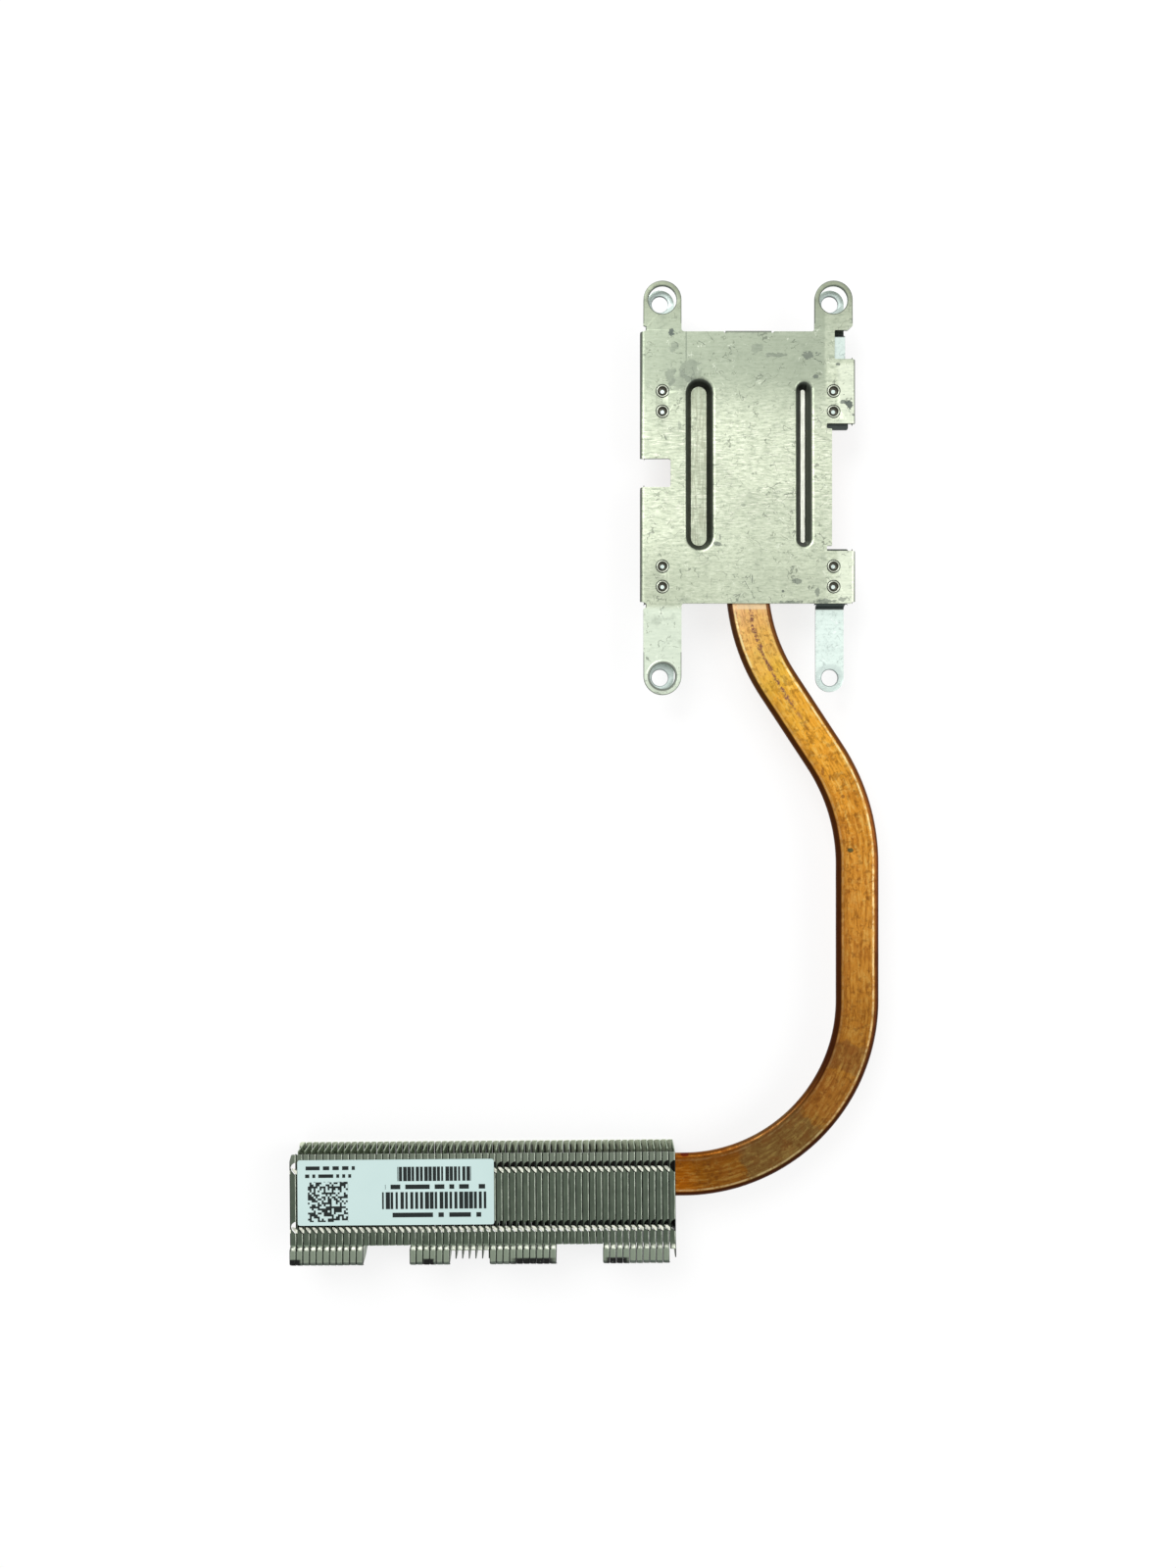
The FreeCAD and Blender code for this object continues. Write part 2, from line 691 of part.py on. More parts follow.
def make_rivets(name, side, end):
    body = new_body(name)
    top = "sizes.sheet_thickness + sizes.rivet_stand_out"
    foot = "-(sizes.arm_thickness + sizes.rivet_stand_out)"
    section = new_sketch(body, "section", "XY_Plane", foot)
    few_sided(section, [("0", "0")], "sizes.rivet_radius")
    few_sided(section, [("0", "0")], "sizes.rivet_bore_radius")
    pad(body, "tube", section, f"{top} - {foot}")
    pattern(body, "pair", "Y_Axis", "sizes.rivet_pitch", "2")
    place(
        body,
        f"sizes.cover_shift_x + {side} * {EAR_X}",
        f"{end} * sizes.rivet_line - sizes.rivet_pitch / 2",
        PIPE_TOP,
    )
    return body


# Fins: folded sheets that hook into one another

def channel_corners(height, free, foot):
    """Section of a fin: flange to its free edge, bend and web, with or without a foot."""
    thick = "sizes.fin_thickness"
    corners = [
        (free, "0", None),
        ("0", "0", None),
    ]
    if foot:
        corners += [
            ("0", f"-{height}", None),
            (free, f"-{height}", None),
            (free, f"{thick} - {height}", None),
            (f"-{thick}", f"{thick} - {height}", None),
        ]
    else:
        corners += [
            ("0", f"-{height}", None),
            (f"-{thick}", f"-{height}", None),
        ]
    corners += [
        (f"-{thick}", f"-{thick}", None),
        (free, f"-{thick}", None),
    ]
    return corners


def add_front(body, kind):
    """The part in front of the flat row: a ramp up, then a tab or a bare web."""
    web = "sizes.tab_web_height"
    section = channel_corners(web, f"(sizes.tab_side_gap - {FIN_WIDTH})", foot=False)
    ramp = new_sketch(body, "ramp", "XZ_Plane", "sizes.fin_depth")
    outline(ramp, section)
    rising = pad(body, "ramp", ramp, "sizes.ramp_run")
    rising.UseCustomVector = True
    rising.AlongSketchNormal = True
    rising.Direction = FreeCAD.Vector(0, -1, 1)
    rising.setExpression("Direction.y", "-sizes.ramp_run")
    rising.setExpression("Direction.z", "sizes.ramp_rise")
    front = "sizes.fin_depth + sizes.ramp_run"
    tab = new_sketch(body, "tab", "XZ_Plane", front)
    tab.setExpression("AttachmentOffset.Base.y", "sizes.ramp_rise")
    outline(tab, section)
    tab_end = f"({front} + sizes.tab_length)"
    web_end = f"({tab_end} - sizes.tab_web_setback)"
    if kind == "long":
        pad(body, "tab", tab, "sizes.tab_length")
        under_tab = "sizes.ramp_rise - sizes.fin_thickness"
        below_web = f"-{web} - sizes.fin_thickness"
        beyond = f"-{tab_end} - sizes.fin_thickness"
        spare = new_sketch(body, "web_end", "YZ_Plane")
        outline(spare, [
            (f"-{web_end}", under_tab, None),
            (beyond, under_tab, None),
            (beyond, below_web, None),
            (f"-{web_end}", below_web, None),
        ])
        pocket(body, "web_end", spare, "4 * sizes.fin_thickness", both_ways=True)
    else:
        pad(body, "tab", tab, "sizes.stub_length")
        bare = new_sketch(body, "bare_web", "YZ_Plane", "-sizes.fin_thickness")
        outline(bare, [
            (f"-({front})", "-sizes.fin_thickness", None),
            (f"-{web_end}", "-sizes.fin_thickness", None),
            (f"-{web_end}", f"sizes.ramp_rise - {web}", None),
            (f"-({front})", f"sizes.ramp_rise - {web}", None),
        ])
        pad(body, "bare_web", bare, "sizes.fin_thickness")


def add_zip(body, hooked):
    """Two cuts in the bend and two pointed hooks that lie in the next fin's cuts."""
    free = f"-{FIN_WIDTH}"
    rear = "sizes.zip_rear"
    cuts = new_sketch(body, "zip_cut", "XY_Plane")
    outline(cuts, [
        ("sizes.fin_thickness", f"-{rear}", None),
        ("-sizes.zip_width", f"-{rear}", None),
        ("-sizes.zip_width", f"-{rear} - sizes.zip_length", None),
        ("sizes.fin_thickness", f"-{rear} - sizes.zip_length", None),
    ])
    cut = pocket(body, "zip_cut", cuts, "sizes.fin_thickness")
    pattern(body, "zip_cuts", "Y_Axis", "sizes.zip_spacing", "2", [cut]).Reversed = True
    if not hooked:
        return
    hook_rear = f"({rear} + sizes.hook_offset)"
    hook = new_sketch(body, "hook", "XY_Plane", "-sizes.hook_thickness")
    outline(hook, [
        (free, f"-{hook_rear}", None),
        (f"{free} - sizes.hook_reach", f"-{hook_rear} - sizes.hook_lean * sizes.hook_length", None),
        (free, f"-{hook_rear} - sizes.hook_length", None),
    ])
    first_hook = pad(body, "hook", hook, "sizes.hook_thickness")
    pattern(body, "hooks", "Y_Axis", "sizes.zip_spacing", "2", [first_hook]).Reversed = True


def make_fin(name, kind, hooked=True):
    body = new_body(name)
    section = new_sketch(body, "section", "XZ_Plane")
    outline(section, channel_corners("sizes.fin_height", f"-{FIN_WIDTH}", foot=True))
    pad(body, "channel", section, "sizes.fin_depth")
    if kind != "short":
        add_front(body, kind)
    roof = "(sizes.fin_thickness + sizes.pipe_roof - sizes.pipe_clearance)"
    floor = f"({roof} + sizes.pipe_thick + 2 * sizes.pipe_clearance)"
    slot_end = f"(sizes.pipe_inset + {PIPE_WIDTH} / 2 + sizes.pipe_clearance)"
    slot = new_sketch(body, "pipe_slot", "YZ_Plane")
    outline(slot, [
        ("sizes.fin_thickness", f"-{roof}", None),
        (f"-{slot_end}", f"-{roof}", None),
        (f"-{slot_end}", f"-{floor}", None),
        ("sizes.fin_thickness", f"-{floor}", None),
    ])
    pocket(body, "pipe_slot", slot, "4 * sizes.fin_thickness", both_ways=True)
    add_zip(body, hooked)
    return body


def copy_body(name, original):
    body = new_body(name)
    twin = body.newObject("PartDesign::FeatureBase", f"{name}_twin")
    twin.BaseFeature = original
    body.Tip = twin
    return body


def place_fin(body, number, total):
    """Fins count from the free end; the last one stands at the pipe's end."""
    steps = f"{total - number} * sizes.fin_pitch"
    place(
        body,
        f"sizes.stack_x - {steps} * cos(sizes.stack_turn)",
        f"sizes.stack_y - {steps} * sin(sizes.stack_turn)",
        STACK_TOP,
        "sizes.stack_turn",
    )


def make_row():
    """Long fins as copies of one; the end fin has no hooks; some runs are joined sets."""
    total = round(value(ROW_COUNT))
    runs = [
        ("long", "long_outer_count", False),
        ("short", "short_outer_count", True),
        ("long", "long_second_count", False),
        ("bare", "bare_count", True),
        ("long", "long_third_count", False),
        ("short", "short_inner_count", True),
        ("long", "long_inner_count", False),
        ("bare", "end_count", False),
    ]
    end_fin = make_fin("fin_01", "long", hooked=False)
    hooked_fin = make_fin("fin_02", "long")
    made = {1: end_fin, 2: hooked_fin}
    bodies = []
    number = 1
    for kind, count_name, joined in runs:
        count = round(value(f"sizes.{count_name}"))
        if joined:
            body = make_fin(f"fins_{number:02d}_to_{number + count - 1:02d}", kind)
            pattern(body, "row", "X_Axis", "sizes.fin_pitch", f"sizes.{count_name}")
            place_fin(body, number, total)
            bodies.append(body)
            number += count
            continue
        for step in range(count):
            name = f"fin_{number:02d}"
            if number in made:
                body = made[number]
            elif kind == "long":
                body = copy_body(name, hooked_fin)
            else:
                body = make_fin(name, kind)
            place_fin(body, number, total)
            bodies.append(body)
            number += 1
    return bodies


# Paper label on the fins

def make_label():
    body = new_body("label")
    left = f"sizes.label_from_end - {ROW_LENGTH}"
    right = f"{left} + sizes.label_length"
    rear = "-sizes.label_from_rear"
    front = f"{rear} - sizes.label_height"
    sketch = new_sketch(body, "outline", "XY_Plane")
    outline(sketch, [
        (left, rear, None),
        (right, rear, None),
        (right, front, None),
        (left, front, None),
    ])
    pad(body, "paper", sketch, "sizes.label_thickness")
    place(body, "sizes.stack_x", "sizes.stack_y", STACK_TOP, "sizes.stack_turn")
    return body


bodies = [make_base_block(), make_heat_pipe(), make_wick(), make_cover()]
for side_name, side in (("left", -1), ("right", 1)):
    for end_name, end in (("upper", 1), ("lower", -1)):
        bodies.append(make_arm(f"spring_arm_{end_name}_{side_name}", side, end))
        bodies.append(make_rivets(f"rivets_{end_name}_{side_name}", side, end))
bodies += make_row()
bodies.append(make_label())
doc.recompute()

# Every feature has to have computed, and every cut has to have cut something

CUTS = ("PartDesign::Pocket", "PartDesign::SubtractivePipe", "PartDesign::SubtractiveLoft")
for item in doc.Objects:
    if "Invalid" in item.State or "Error" in item.State:
        raise RuntimeError(f"{item.Name} failed: {item.getStatusString()}")
    if item.TypeId in CUTS and item.Shape.Volume >= item.BaseFeature.Shape.Volume:
        raise RuntimeError(f"{item.Name} cut nothing")
for body in bodies:
    if body.Shape.isNull() or not body.Shape.isValid() or not body.Shape.Solids:
        raise RuntimeError(f"{body.Label} has no valid solid")
for body in bodies:
    body.Shape.exportStep(f"parts/{body.Label}.step")
print(len(bodies), "nodes,", sum(len(body.Shape.Solids) for body in bodies), "solids")
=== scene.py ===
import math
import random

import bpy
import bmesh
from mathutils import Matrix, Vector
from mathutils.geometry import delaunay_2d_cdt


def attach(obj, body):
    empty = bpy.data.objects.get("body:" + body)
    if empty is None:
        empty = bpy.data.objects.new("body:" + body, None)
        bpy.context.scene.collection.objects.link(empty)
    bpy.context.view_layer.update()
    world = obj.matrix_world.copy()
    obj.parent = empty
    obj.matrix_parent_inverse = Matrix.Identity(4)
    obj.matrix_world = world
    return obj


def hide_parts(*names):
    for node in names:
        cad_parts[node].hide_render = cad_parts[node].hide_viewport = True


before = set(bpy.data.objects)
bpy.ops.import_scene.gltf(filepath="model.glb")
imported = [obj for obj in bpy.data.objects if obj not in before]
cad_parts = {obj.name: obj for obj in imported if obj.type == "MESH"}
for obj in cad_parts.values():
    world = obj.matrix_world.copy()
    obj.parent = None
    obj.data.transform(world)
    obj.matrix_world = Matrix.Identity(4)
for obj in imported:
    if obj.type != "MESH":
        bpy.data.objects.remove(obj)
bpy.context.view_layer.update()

# %% [markdown]
# A notebook's cooler seen straight from above: a pressed cover plate over the
# processor block, four spring arms, a flattened heat pipe and a row of zipped
# fins. The solids come from the CAD file; this lesson dresses them. Lengths are
# in millimetres in the CAD file's own frame, and the helpers turn them into
# metres; only the floor's size and the lamps are given in metres at once. The
# size of a noise counts its spots on a metre.

MM = 0.001
random.seed(58)
print("frame nodes:", len(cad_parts))


# %% [markdown]
# The levels repeat what the CAD file stacks up: block, pipe, cover sheet. The
# screw pattern is centred on the origin, and the cover sits a little off it.

# %% Levels and places shared by the pieces
BLOCK_TOP = 1.5
PIPE_THICK = 1.9
PIPE_TOP = BLOCK_TOP + PIPE_THICK
SHEET = 0.6
COVER_TOP = PIPE_TOP + SHEET
COVER_SHIFT = (0.4, 0.2)
SCREW_X, SCREW_Y = 16.6, 36.5
ROW_CORNER = (-13.75, -128.6)
ROW_TURN = math.radians(0.45)
ROW_PITCH = 1.291
ROW_COUNT = 58
FLOOR_LEVEL = -5.5
print("cover top at", COVER_TOP, "mm")


# %% [markdown]
# Thin sheet parts are made here as they are in the press: a flat blank is cut
# with its holes, then every point is carried to its bent place, then the sheet
# gets its thickness. A box with bevels would be quicker, but its bends would
# not run on from the flat as folded metal does. The triangulation keeps the
# guide lines, so a bend has points where it needs them.

# %% Helpers: outlines, blanks and bending
def arc(centre, radius, start, end, steps):
    """Points on a circle, with the angles in degrees."""
    angles = [math.radians(start + (end - start) * k / steps) for k in range(steps + 1)]
    return [(centre[0] + radius * math.cos(a), centre[1] + radius * math.sin(a)) for a in angles]


def ring(centre, radius, steps=32):
    return arc(centre, radius, 0, 360, steps)[:-1]


def long_ring(centre, width, length, steps=10):
    """A loop with straight sides and two round ends, upright."""
    x, y = centre
    reach = (length - width) / 2
    top = arc((x, y + reach), width / 2, 0, 180, steps)
    return top + arc((x, y - reach), width / 2, 180, 360, steps)


def eased(corners, steps=4):
    """A loop through corners (x, y, radius), rounded where the radius is over 0."""
    loop = []
    count = len(corners)
    for index, (x, y, radius) in enumerate(corners):
        here = Vector((x, y))
        if radius == 0:
            loop.append(here)
            continue
        before = (Vector(corners[index - 1][:2]) - here).normalized()
        after = (Vector(corners[(index + 1) % count][:2]) - here).normalized()
        for step in range(steps + 1):
            t = step / steps
            start, end = here + before * radius, here + after * radius
            loop.append(start.lerp(here, t).lerp(here.lerp(end, t), t))
    return [tuple(point) for point in loop]


def inside(point, loop):
    """True where the point lies in the loop."""
    x, y = point
    found = False
    for (x1, y1), (x2, y2) in zip(loop, loop[1:] + loop[:1]):
        if (y1 > y) != (y2 > y) and x < x1 + (y - y1) * (x2 - x1) / (y2 - y1):
            found = not found
    return found


def mesh_from(built, name):
    mesh = bpy.data.meshes.new(name)
    built.to_mesh(mesh)
    built.free()
    return mesh


CHART = 50.0


def blank_mesh(name, outline, holes, guides, form):
    """A flat blank with holes, carried to its bent place by form(x, y).

    Its map keeps the flat place of every point, in units of CHART millimetres.
    """
    points, edges = [], []
    for loop in [outline] + holes + [g for g in guides if len(g) > 2]:
        first = len(points)
        points += [Vector(p) for p in loop]
        edges += [(first + k, first + (k + 1) % len(loop)) for k in range(len(loop))]
    for line in [g for g in guides if len(g) == 2]:
        first = len(points)
        points += [Vector(p) for p in line]
        edges.append((first, first + 1))
    verts, _, faces, *_ = delaunay_2d_cdt(points, edges, [], 0, 1e-5)
    built = bmesh.new()
    chart = built.loops.layers.uv.new("blank")
    placed = [built.verts.new(Vector(form(v.x, v.y)) * MM) for v in verts]
    for face in faces:
        middle = sum((verts[i] for i in face), Vector((0, 0))) / len(face)
        if inside(middle, outline) and not any(inside(middle, hole) for hole in holes):
            made = built.faces.new([placed[i] for i in face])
            for loop, i in zip(made.loops, face):
                loop[chart].uv = verts[i] / CHART
    bmesh.ops.delete(built, geom=[v for v in placed if not v.link_faces], context="VERTS")
    return mesh_from(built, name)


print("outline helpers ready")


# %% [markdown]
# A few small helpers finish the pieces. One gives a sheet its thickness and soft
# edges, which is where real metal shows its highlights. Another smooths a skin
# that is swept or turned. The last one puts a piece on the frame and says which
# CAD nodes it stands for.

# %% Helpers: thickness, soft edges and placing
def settle(piece):
    """Keeps what the modifiers make as the piece's own mesh."""
    bpy.context.view_layer.update()
    shown = piece.evaluated_get(bpy.context.evaluated_depsgraph_get())
    mesh = bpy.data.meshes.new_from_object(shown)
    piece.modifiers.clear()
    piece.data = mesh
    return piece


SHARP_FROM = math.radians(21)
EASED_FROM = math.radians(50)
SKIN_SHARP_FROM = math.radians(50)


def thicken(piece, thickness, edge=0.05, even=True, steps=2):
    """Thickness below the drawn face, with its long edges eased."""
    body = piece.modifiers.new("thickness", "SOLIDIFY")
    body.thickness = thickness * MM
    body.offset = -1
    body.use_even_offset = even
    soft = piece.modifiers.new("soft edges", "BEVEL")
    soft.width = edge * MM
    soft.segments = steps
    soft.limit_method = "ANGLE"
    soft.angle_limit = EASED_FROM
    settle(piece)
    piece.data.shade_smooth()
    piece.data.set_sharp_from_angle(angle=SHARP_FROM)
    flat = piece.modifiers.new("flat faces stay flat", "WEIGHTED_NORMAL")
    flat.keep_sharp = True
    return settle(piece)


def smooth_skin(built, name):
    """A swept or turned skin, smooth apart from its corners."""
    bmesh.ops.recalc_face_normals(built, faces=built.faces)
    mesh = mesh_from(built, name)
    mesh.shade_smooth()
    mesh.set_sharp_from_angle(angle=SKIN_SHARP_FROM)
    return mesh


def new_piece(name, mesh, place=(0, 0, 0), turn=0.0):
    piece = bpy.data.objects.new(name, mesh)
    bpy.context.scene.collection.objects.link(piece)
    piece.location = Vector(place) * MM
    piece.rotation_euler = (0, 0, turn)
    return piece


def finish_piece(piece, material, nodes):
    """Material of a piece that rides on the frame; the CAD nodes it stands for are hidden."""
    piece.data.materials.clear()
    piece.data.materials.append(material)
    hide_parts(*nodes)
    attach(piece, "root")
    return piece


print("piece helpers ready")


# %% [markdown]
# The finishes are reckoned with nodes. A wire stands for one output of a node:
# it can be added to, multiplied and compared like a number, and each such step
# adds the node that does it. So a mask reads as a short sum, where the same
# links written out one by one would fill a page.

# %% Helpers: wires between nodes
NODE_STEP = 180


def add_node(tree, kind, **values):
    node = tree.nodes.new(kind)
    node.location = (NODE_STEP * len(tree.nodes), 0)
    for key, value in values.items():
        setattr(node, key, value)
    return node


def feed(value, socket):
    """Links a wire to a socket, or writes a plain value on it."""
    if isinstance(value, Wire):
        socket.id_data.links.new(value.socket, socket)
    else:
        socket.default_value = value


class Wire:
    """One output of a node, to reckon with."""

    def __init__(self, socket):
        self.socket = socket
        self.tree = socket.id_data

    def math(self, operation, other=None, clamp=False):
        node = add_node(self.tree, "ShaderNodeMath", operation=operation, use_clamp=clamp)
        feed(self, node.inputs[0])
        if other is not None:
            feed(other, node.inputs[1])
        return Wire(node.outputs[0])

    def __add__(self, other):
        return self.math("ADD", other)

    def __sub__(self, other):
        return self.math("SUBTRACT", other)

    def __mul__(self, other):
        return self.math("MULTIPLY", other)

    def __truediv__(self, other):
        return self.math("DIVIDE", other)

    def __abs__(self):
        return self.math("ABSOLUTE")

    def larger(self, other):
        return self.math("MAXIMUM", other)

    def past(self, limit):
        """1 above the limit and 0 below it."""
        return self.math("GREATER_THAN", limit)

    def short_of(self, limit):
        """1 below the limit and 0 above it."""
        return self.math("LESS_THAN", limit)

    def rise(self, low, high, to_low=0.0, to_high=1.0):
        """A smooth rise from low to high, or a fall where low is the larger."""
        node = add_node(self.tree, "ShaderNodeMapRange", interpolation_type="SMOOTHSTEP")
        feed(self, node.inputs["Value"])
        feed(low, node.inputs["From Min"])
        feed(high, node.inputs["From Max"])
        feed(to_low, node.inputs["To Min"])
        feed(to_high, node.inputs["To Max"])
        return Wire(node.outputs["Result"])

    def vector(self, operation, other=None):
        node = add_node(self.tree, "ShaderNodeVectorMath", operation=operation)
        feed(self, node.inputs[0])
        if other is not None:
            feed(other, node.inputs[1])
        return Wire(node.outputs["Value" if operation == "LENGTH" else "Vector"])

    def parts(self, axes, unit=1.0):
        """The named parts of a place or a direction, in a unit."""
        split = add_node(self.tree, "ShaderNodeSeparateXYZ")
        feed(self, split.inputs[0])
        found = [Wire(split.outputs[axis]) for axis in axes]
        return found if unit == 1.0 else [part * (1 / unit) for part in found]


def distance(first, second):
    """The length of a step given by its two parts."""
    return (first * first + second * second).math("SQRT")


def blend(mask, first, second):
    """Mixes two colours, each a wire or a plain colour, by a mask."""
    node = add_node(mask.tree, "ShaderNodeMix", data_type="RGBA")
    feed(mask, node.inputs["Factor"])
    for socket, shade in ((node.inputs[6], first), (node.inputs[7], second)):
        feed((*shade, 1) if isinstance(shade, tuple) else shade, socket)
    return Wire(node.outputs[2])


def noise(place, scale, detail=3, rough=0.5, stretch=None):
    if stretch:
        mapping = add_node(place.tree, "ShaderNodeMapping")
        mapping.inputs["Scale"].default_value = stretch
        feed(place, mapping.inputs["Vector"])
        place = Wire(mapping.outputs["Vector"])
    node = add_node(place.tree, "ShaderNodeTexNoise")
    for title, value in (("Vector", place), ("Scale", scale), ("Detail", detail), ("Roughness", rough)):
        feed(value, node.inputs[title])
    return Wire(node.outputs["Fac"])


def colour_ramp(value, stops):
    node = add_node(value.tree, "ShaderNodeValToRGB")
    ramp = node.color_ramp
    while len(ramp.elements) < len(stops):
        ramp.elements.new(0.5)
    for element, (place, shade) in zip(ramp.elements, stops):
        element.position = place
        element.color = (*shade, 1)
    feed(value, node.inputs["Fac"])
    return Wire(node.outputs["Color"])


print("node helpers ready")


# %% [markdown]
# The finishes share most of their effects, so each is a node group: lines from brushing, loose blotches
# for dirt and painted glints, single marks and scratches at a place, fine curling hairlines, and how
# steep a face is, which steers painted shade. They put out masks only, and each material decides what a
# mask does to its colour and roughness.

# %% Groups: brushing, blotches, marks, scratches, hairlines and steepness
def new_group(name, output, **inputs):
    """A group with one output: the group, the socket to feed, its inputs as wires."""
    group = bpy.data.node_groups.new(name, "ShaderNodeTree")
    for title, default in inputs.items():
        kind = "NodeSocketFloat" if isinstance(default, float) else "NodeSocketVector"
        socket = group.interface.new_socket(title, in_out="INPUT", socket_type=kind)
        socket.default_value = default
    group.interface.new_socket(output, in_out="OUTPUT", socket_type="NodeSocketFloat")
    given = add_node(group, "NodeGroupInput")
    out = add_node(group, "NodeGroupOutput").inputs[output]
    return group, out, [Wire(given.outputs[title]) for title in inputs]


ORIGIN = (0.0, 0.0, 0.0)


def make_brushing():
    """Fine lines along X, with a wider and a finer set."""
    group, out, (place, amount) = new_group("brushing", "Lines", Place=ORIGIN, Amount=1.0)
    fine = noise(place, 1.0, 4, 0.6, (60, 5200, 900))
    wide = noise(place, 1.0, 3, 0.6, (30, 1300, 400))
    centred = fine * 0.6 + wide * 0.4 - 0.5
    feed((centred * amount).math("ADD", 0.5, clamp=True), out)
    return group


def make_blotches():
    """Soft-edged blotches, for dirt and for painted glints: a noise, cut at a threshold."""
    group, out, (place, size, threshold, softness) = new_group(
        "blotches", "Mask", Place=ORIGIN, Size=120.0, Threshold=0.55, Softness=0.12)
    above = noise(place, size, 6, 0.62) - threshold
    feed(above.math("DIVIDE", softness, clamp=True), out)
    return group


def make_mark():
    """One mark: an oval with a ragged edge at a place."""
    group, out, (place, centre, stretch, radius, ragged) = new_group(
        "mark", "Mask", Place=ORIGIN, Centre=ORIGIN, Stretch=(1.0, 1.0, 1.0), Radius=0.001, Ragged=0.4)
    oval = place.vector("SUBTRACT", centre).vector("DIVIDE", stretch)
    shaken = (noise(place, 900, 4, 0.6) - 0.5) * ragged * 3.0
    feed((oval.vector("LENGTH") / radius + shaken).rise(1.08, 0.84), out)
    return group


def make_scratch():
    """A thin wavy line of a length, turned about its centre."""
    group, out, (place, centre, length, turn) = new_group(
        "scratch", "Mask", Place=ORIGIN, Centre=ORIGIN, Length=0.001, Turn=0.0)
    turned = add_node(group, "ShaderNodeVectorRotate", rotation_type="Z_AXIS")
    feed(place, turned.inputs["Vector"])
    feed(centre, turned.inputs["Center"])
    feed(turn, turned.inputs["Angle"])
    x, y = Wire(turned.outputs["Vector"]).vector("SUBTRACT", centre).parts("XY", MM)
    sway = (noise(place, 700, 3, 0.6) - 0.5) * 1.2
    thin = abs(y + sway).rise(0.1, 0.04)
    feed(thin * (abs(x) * MM / length).rise(1.0, 0.8), out)
    return group


def make_hairlines():
    """Fine curling lines: the contour of one noise, broken up by another."""
    group, out, (place, size, width, threshold) = new_group(
        "hairlines", "Mask", Place=ORIGIN, Size=300.0, Width=0.02, Threshold=0.5)
    line = (abs(noise(place, size, 3) - 0.5) / width).rise(1.0, 0.4)
    gate = (noise(place, size * 1.7, 2) - threshold).rise(0.0, 0.05)
    feed(line * gate, out)
    return group


def make_steepness():
    """0 on level faces and 1 on upright ones."""
    group, out, (facing, level, upright) = new_group(
        "steepness", "Mask", Facing=ORIGIN, Level=0.88, Upright=0.68)
    [up] = facing.parts("Z")
    feed(abs(up).rise(level, upright), out)
    return group


BRUSHING, BLOTCHES, MARK = make_brushing(), make_blotches(), make_mark()
SCRATCH, HAIRLINES, STEEPNESS = make_scratch(), make_hairlines(), make_steepness()
print("groups:", len(bpy.data.node_groups))


# %% [markdown]
# A material starts from one helper that holds the shader, the place on the object and the colour so far.
# Each step lays one more shade over that colour: dirt and wear as they came over the metal, and painted
# light and shade as well. Values that are the same all over stay on the shader's own sockets.

# %% Helper: a finish to build on
class Finish:
    """A material with its place and the colour laid so far."""

    def __init__(self, name, metallic, roughness):
        self.material = bpy.data.materials.new(name)
        self.material.use_nodes = True
        self.tree = self.material.node_tree
        self.shader = self.tree.nodes["Principled BSDF"]
        feed(metallic, self.shader.inputs["Metallic"])
        feed(roughness, self.shader.inputs["Roughness"])
        self.place = self.read("ShaderNodeTexCoord", "Object")
        self.colour = None

    def read(self, kind, output, **values):
        """An output of a node that tells something about the piece."""
        return Wire(add_node(self.tree, kind, **values).outputs[output])

    def group(self, group, **values):
        """A group placed in the material, with its own values; most need the place."""
        node = add_node(self.tree, "ShaderNodeGroup", node_tree=group)
        if "Place" in node.inputs:
            values["Place"] = self.place
        for key, value in values.items():
            feed(value, node.inputs[key])
        return Wire(node.outputs[0])

    def steepness(self):
        return self.group(STEEPNESS, Facing=self.read("ShaderNodeNewGeometry", "Normal"))

    def lay(self, shade, mask, share=1.0):
        """Lays a shade over the colour so far, as far as the mask and a share say."""
        self.colour = blend(mask if share == 1.0 else mask * share, self.colour, shade)

    def blotch(self, shade, share, size, threshold, softness):
        """Lays a shade in loose blotches, and gives back their mask."""
        mask = self.group(BLOTCHES, Size=size, Threshold=threshold, Softness=softness)
        self.lay(shade, mask, share)
        return mask

    def hairs(self, shade, share, size, width, threshold):
        self.lay(shade, self.group(HAIRLINES, Size=size, Width=width, Threshold=threshold), share)

    def mark(self, shade, share, place, radius, stretch, ragged):
        """A mark at a place in the piece's own millimetres; it reaches through the sheet."""
        centre = tuple(part * MM for part in place)
        mask = self.group(MARK, Centre=centre, Radius=radius * MM, Stretch=(*stretch, 4.0), Ragged=ragged)
        self.lay(shade, mask, share)

    def rough(self, mask, low, high):
        feed(mask.rise(0.2, 0.8, low, high), self.shader.inputs["Roughness"])

    def bump(self, height, depth, strength):
        node = add_node(self.tree, "ShaderNodeBump")
        feed(depth * MM, node.inputs["Distance"])
        feed(strength, node.inputs["Strength"])
        feed(height, node.inputs["Height"])
        feed(Wire(node.outputs["Normal"]), self.shader.inputs["Normal"])

    def done(self):
        """Puts the colour on the shader and gives back the material."""
        feed(self.colour, self.shader.inputs["Base Color"])
        print("finish:", self.material.name)
        return self.material
